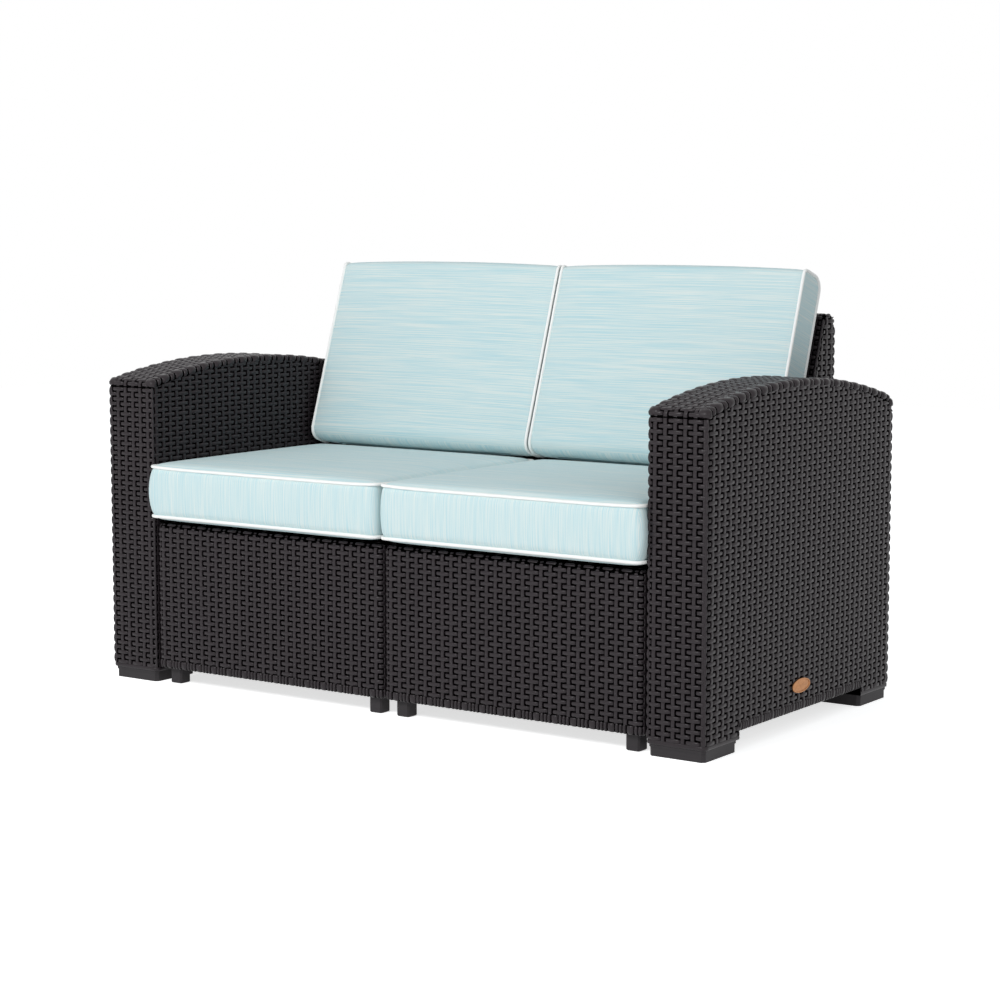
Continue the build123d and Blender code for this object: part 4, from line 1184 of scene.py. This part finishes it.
def sewn_zip(cushion, name, centre, across, outward, length):
    """Zip with its tape and its slider, laid on the cushion's own surface."""
    outward = Vector(outward)
    across = Vector(across)
    tape = long_strand("tape", length, 13.0 * MM, 1.0 * MM, 90, ((0.5, 0.2), (0.2, 0.3), (0.12, 1.0)))
    moved(tape, (-length / 2, 0, 0))
    place = axes_at(Vector(centre) + outward * ZIP_STANDOFF, across, outward.cross(across), outward)
    put(tape, place)
    deselect_all()
    bpy.ops.mesh.primitive_cube_add(size=1.0)
    slider = bpy.context.object
    slider.scale = (9.0 * MM, 5.0 * MM, 2.2 * MM)
    moved(slider, (length / 2 - 12.0 * MM, 0, 1.2 * MM))
    apply_modifier(slider, "BEVEL", width=0.8 * MM, segments=2)
    put(slider, place)
    zip_piece = join([tape, slider], name)
    # Laid down onto the swollen cloth, keeping its own relief.
    for vertex in zip_piece.data.vertices:
        relief = (vertex.co - Vector(centre)).dot(outward) - ZIP_STANDOFF
        hit, point, _, _ = cushion.ray_cast(vertex.co + outward * 30.0 * MM, -outward)
        if hit:
            vertex.co = point + outward * (relief + 0.5 * MM)
    return finish_both(zip_piece, name, "zip", cushion.name, 40)


class SOFA_OT_back_cushions(bpy.types.Operator):
    """Sew and fill the two back cushions with piping round their side gussets"""
    bl_idname = "sofa.back_cushions"
    bl_label = "Back Cushions"

    def execute(self, context):
        low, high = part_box("back_cushion_right_cover")
        depth = 69.0 * MM
        tall = 395.0 * MM
        # The two back cushions nearly touch in the middle.
        low.x -= 3.5 * MM
        width = high.x - low.x
        form = boxed_form("back_cushion_right", depth, tall, width,
                          (24.0 * MM, 20.0 * MM, 10.0 * MM, 27.0 * MM), 0.0)
        seams = seam_vertices(form, width)
        fill_out(form, ((15, 22.6), (7, 9), (0, 0)), seams)
        reach = 0.4 * MM + 23.0 * MM + depth / 2
        rise = BACK_CUSHION_LOW + 413.0 * MM / 2
        centre = Vector((
            (low.x + high.x) / 2,
            back_face_y(SKIRT_HIGH.z) - reach * math.cos(RAKE) + rise * math.sin(RAKE),
            SKIRT_HIGH.z + reach * math.sin(RAKE) + rise * math.cos(RAKE),
        ))
        # The form's X runs back, its Y up the rake and its Z along the sofa.
        rearward = Vector((0, math.cos(RAKE), -math.sin(RAKE)))
        upward = Vector((0, math.sin(RAKE), math.cos(RAKE)))
        place = axes_at(centre, rearward, upward, (1, 0, 0))
        welts = sewn_welts(
            form, "back_cushion_right", seams, ("inner", "outer"),
            (1 + 3.4 * MM / depth, 1 + 3.4 * MM / tall, 1), -0.5 * MM, place)
        put(form, place)
        cover, twin = finish_cushion(
            form, "back_cushion_right", ("cloth_z", "cloth_x"),
            lambda normal: 1 if abs(normal.dot(upward)) > 0.75 else 0)
        for piece in (cover, twin):
            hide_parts(piece.name + "_cover", piece.name + "_foam")
        zips = sewn_zip(
            cover, "back_cushion_right_zipper", centre - upward * (tall / 2), (1, 0, 0), -upward,
            width - ZIP_MARGINS)
        for piece in zips:
            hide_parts(piece.name.replace("_zipper", "_zip"))
        for cord in welts:
            pair = finish_both(cord, cord.name, "piping", "back_cushion_right", 60)
            if "outer" in cord.name:
                for piece in pair:
                    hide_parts(piece.name.replace("_welt_outer", "_piping"))
        return {"FINISHED"}


class SOFA_OT_frame_finishes(bpy.types.Operator):
    """Give the moulded frame pieces their finishes, and the shells behind the weave their painted shade"""
    bl_idname = "sofa.frame_finishes"
    bl_label = "Frame Finishes"

    def execute(self, context):
        finishes = {
            # The shells behind the weave take the near-black painted shade of the slits; feet, keys, clips and
            # deck keep their own colours.
            "outer_shell": "painted_shade_backing", "inner_panel": "painted_shade_backing", "cap": "painted_shade_backing", "front_foot": "foot",
            "rear_foot": "foot", "keys": "hidden", "skirt": "painted_shade_backing", "deck": "deck", "legs": "foot",
            "front_shell": "painted_shade_backing", "rear_shell": "painted_shade_backing", "module_clips": "hidden",
        }
        for name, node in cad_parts.items():
            for ending, key in finishes.items():
                if name.endswith(ending):
                    node.data.materials.clear()
                    node.data.materials.append(material_of(key))
        return {"FINISHED"}


def seen_directly(owner):
    """1 for camera, glossy and transmitted rays, which see plain white, and 0 for rays that light the sofa."""
    rays = add_node(owner, "ShaderNodeLightPath")
    mirrored = add_node(
        owner, "ShaderNodeMath", {"operation": "MAXIMUM"}, None,
        {0: rays.outputs["Is Glossy Ray"], 1: rays.outputs["Is Transmission Ray"]})
    seen = add_node(
        owner, "ShaderNodeMath", {"operation": "MAXIMUM"}, None,
        {0: rays.outputs["Is Camera Ray"], 1: mirrored.outputs["Value"]})
    return seen.outputs["Value"]


class SOFA_OT_stage(bpy.types.Operator):
    """Set the white floor, the soft studio light and the camera"""
    bl_idname = "sofa.stage"
    bl_label = "Studio Stage"

    def execute(self, context):
        scene = context.scene
        scene.view_settings.view_transform = "Standard"
        deselect_all()
        bpy.ops.mesh.primitive_plane_add(size=14.0, location=(0, 0, 0))
        floor = context.object
        floor.name = "studio_floor"
        # White floor: camera, glossy and transmitted rays see it lit by itself, and it still takes the shadow.
        material, shader = fresh_material("Seamless White Backdrop")
        lift = add_node(
            material, "ShaderNodeMath", {"operation": "MULTIPLY"}, {1: 0.7}, {0: seen_directly(material)})
        fill_in(
            shader,
            {"Base Color": linear("#FFFFFF"), "Roughness": 0.9, "Specular IOR Level": 0.0,
             "Emission Color": (1, 1, 1, 1)},
            {"Emission Strength": lift.outputs["Value"]})
        floor.data.materials.append(material)
        world = bpy.data.worlds.new("Studio World")
        scene.world = world
        world.use_nodes = True
        world.node_tree.nodes.clear()
        # The room is brighter in front of the sofa than behind it.
        around = add_node(world, "ShaderNodeTexCoord")
        direction = add_node(world, "ShaderNodeSeparateXYZ", links={"Vector": around.outputs["Generated"]})
        grade = add_node(
            world, "ShaderNodeMapRange", None,
            {"From Min": -0.7, "From Max": 0.7, "To Min": 0.6, "To Max": 0.36}, {"Value": direction.outputs["Y"]})
        fill = add_node(
            world, "ShaderNodeBackground", None, {"Color": linear("#F6FAFC")},
            {"Strength": grade.outputs["Result"]})
        plain = add_node(world, "ShaderNodeBackground", None, {"Color": (1, 1, 1, 1), "Strength": 1.0})
        mix = add_node(
            world, "ShaderNodeMixShader", None, None,
            {"Fac": seen_directly(world), 1: fill.outputs["Background"], 2: plain.outputs["Background"]})
        add_node(world, "ShaderNodeOutputWorld", links={"Surface": mix.outputs["Shader"]})
        for name, place, power, spread in (
            ("key_light", (-0.2, -4.2, 3.1), 110.0, 1.2), ("side_light", (3.9, -1.2, 2.0), 13.0, 2.2),
        ):
            deselect_all()
            bpy.ops.object.light_add(type="AREA", location=place)
            lamp = context.object
            lamp.name = name
            lamp.data.energy = power
            lamp.data.size = spread
            # Aimed at the middle of the seats.
            aim = Vector((0, 0, 0.4)) - Vector(place)
            lamp.rotation_euler = aim.to_track_quat("-Z", "Y").to_euler()
        deselect_all()
        bpy.ops.object.camera_add(location=(2.8031, -3.9720, 0.9638))
        camera = context.object
        camera.name = "photo_camera"
        view = Vector((-0.56929, 0.81356, -0.11847))
        camera.rotation_euler = view.to_track_quat("-Z", "Y").to_euler()
        camera.data.lens = 87.1
        camera.data.sensor_width = 36.0
        scene.camera = camera
        return {"FINISHED"}


class SOFA_PT_panel(bpy.types.Panel):
    """Lists the sofa's sizes, colours and pieces"""
    bl_idname = "SOFA_PT_panel"
    bl_label = "Wicker Patio Sofa"
    bl_space_type = "VIEW_3D"
    bl_region_type = "UI"
    bl_category = "Sofa"

    def draw(self, context):
        for group in (context.scene.sofa_sizes, context.scene.sofa_looks):
            box = self.layout.box()
            for name in group.__annotations__:
                box.prop(group, name)
        for operator in OPERATORS:
            self.layout.operator(operator.bl_idname)


OPERATORS = (
    SOFA_OT_stage, SOFA_OT_frame_finishes, SOFA_OT_woven_arms, SOFA_OT_woven_caps, SOFA_OT_woven_bases,
    SOFA_OT_oval_plate, SOFA_OT_woven_backs, SOFA_OT_seat_cushions, SOFA_OT_back_cushions,
)
CLASSES = (SofaSizes, SofaLooks, SOFA_PT_panel) + OPERATORS


def register():
    for item in CLASSES:
        bpy.utils.register_class(item)
    bpy.types.Scene.sofa_sizes = PointerProperty(type=SofaSizes)
    bpy.types.Scene.sofa_looks = PointerProperty(type=SofaLooks)


def unregister():
    del bpy.types.Scene.sofa_looks
    del bpy.types.Scene.sofa_sizes
    for item in reversed(CLASSES):
        bpy.utils.unregister_class(item)


def main():
    register()
    bpy.ops.sofa.stage()
    bpy.ops.sofa.frame_finishes()
    bpy.ops.sofa.woven_arms()
    bpy.ops.sofa.woven_caps()
    bpy.ops.sofa.woven_bases()
    bpy.ops.sofa.oval_plate()
    bpy.ops.sofa.woven_backs()
    bpy.ops.sofa.seat_cushions()
    bpy.ops.sofa.back_cushions()
    for tile in TILES.values():
        remove(tile)


if __name__ == "__main__":
    main()
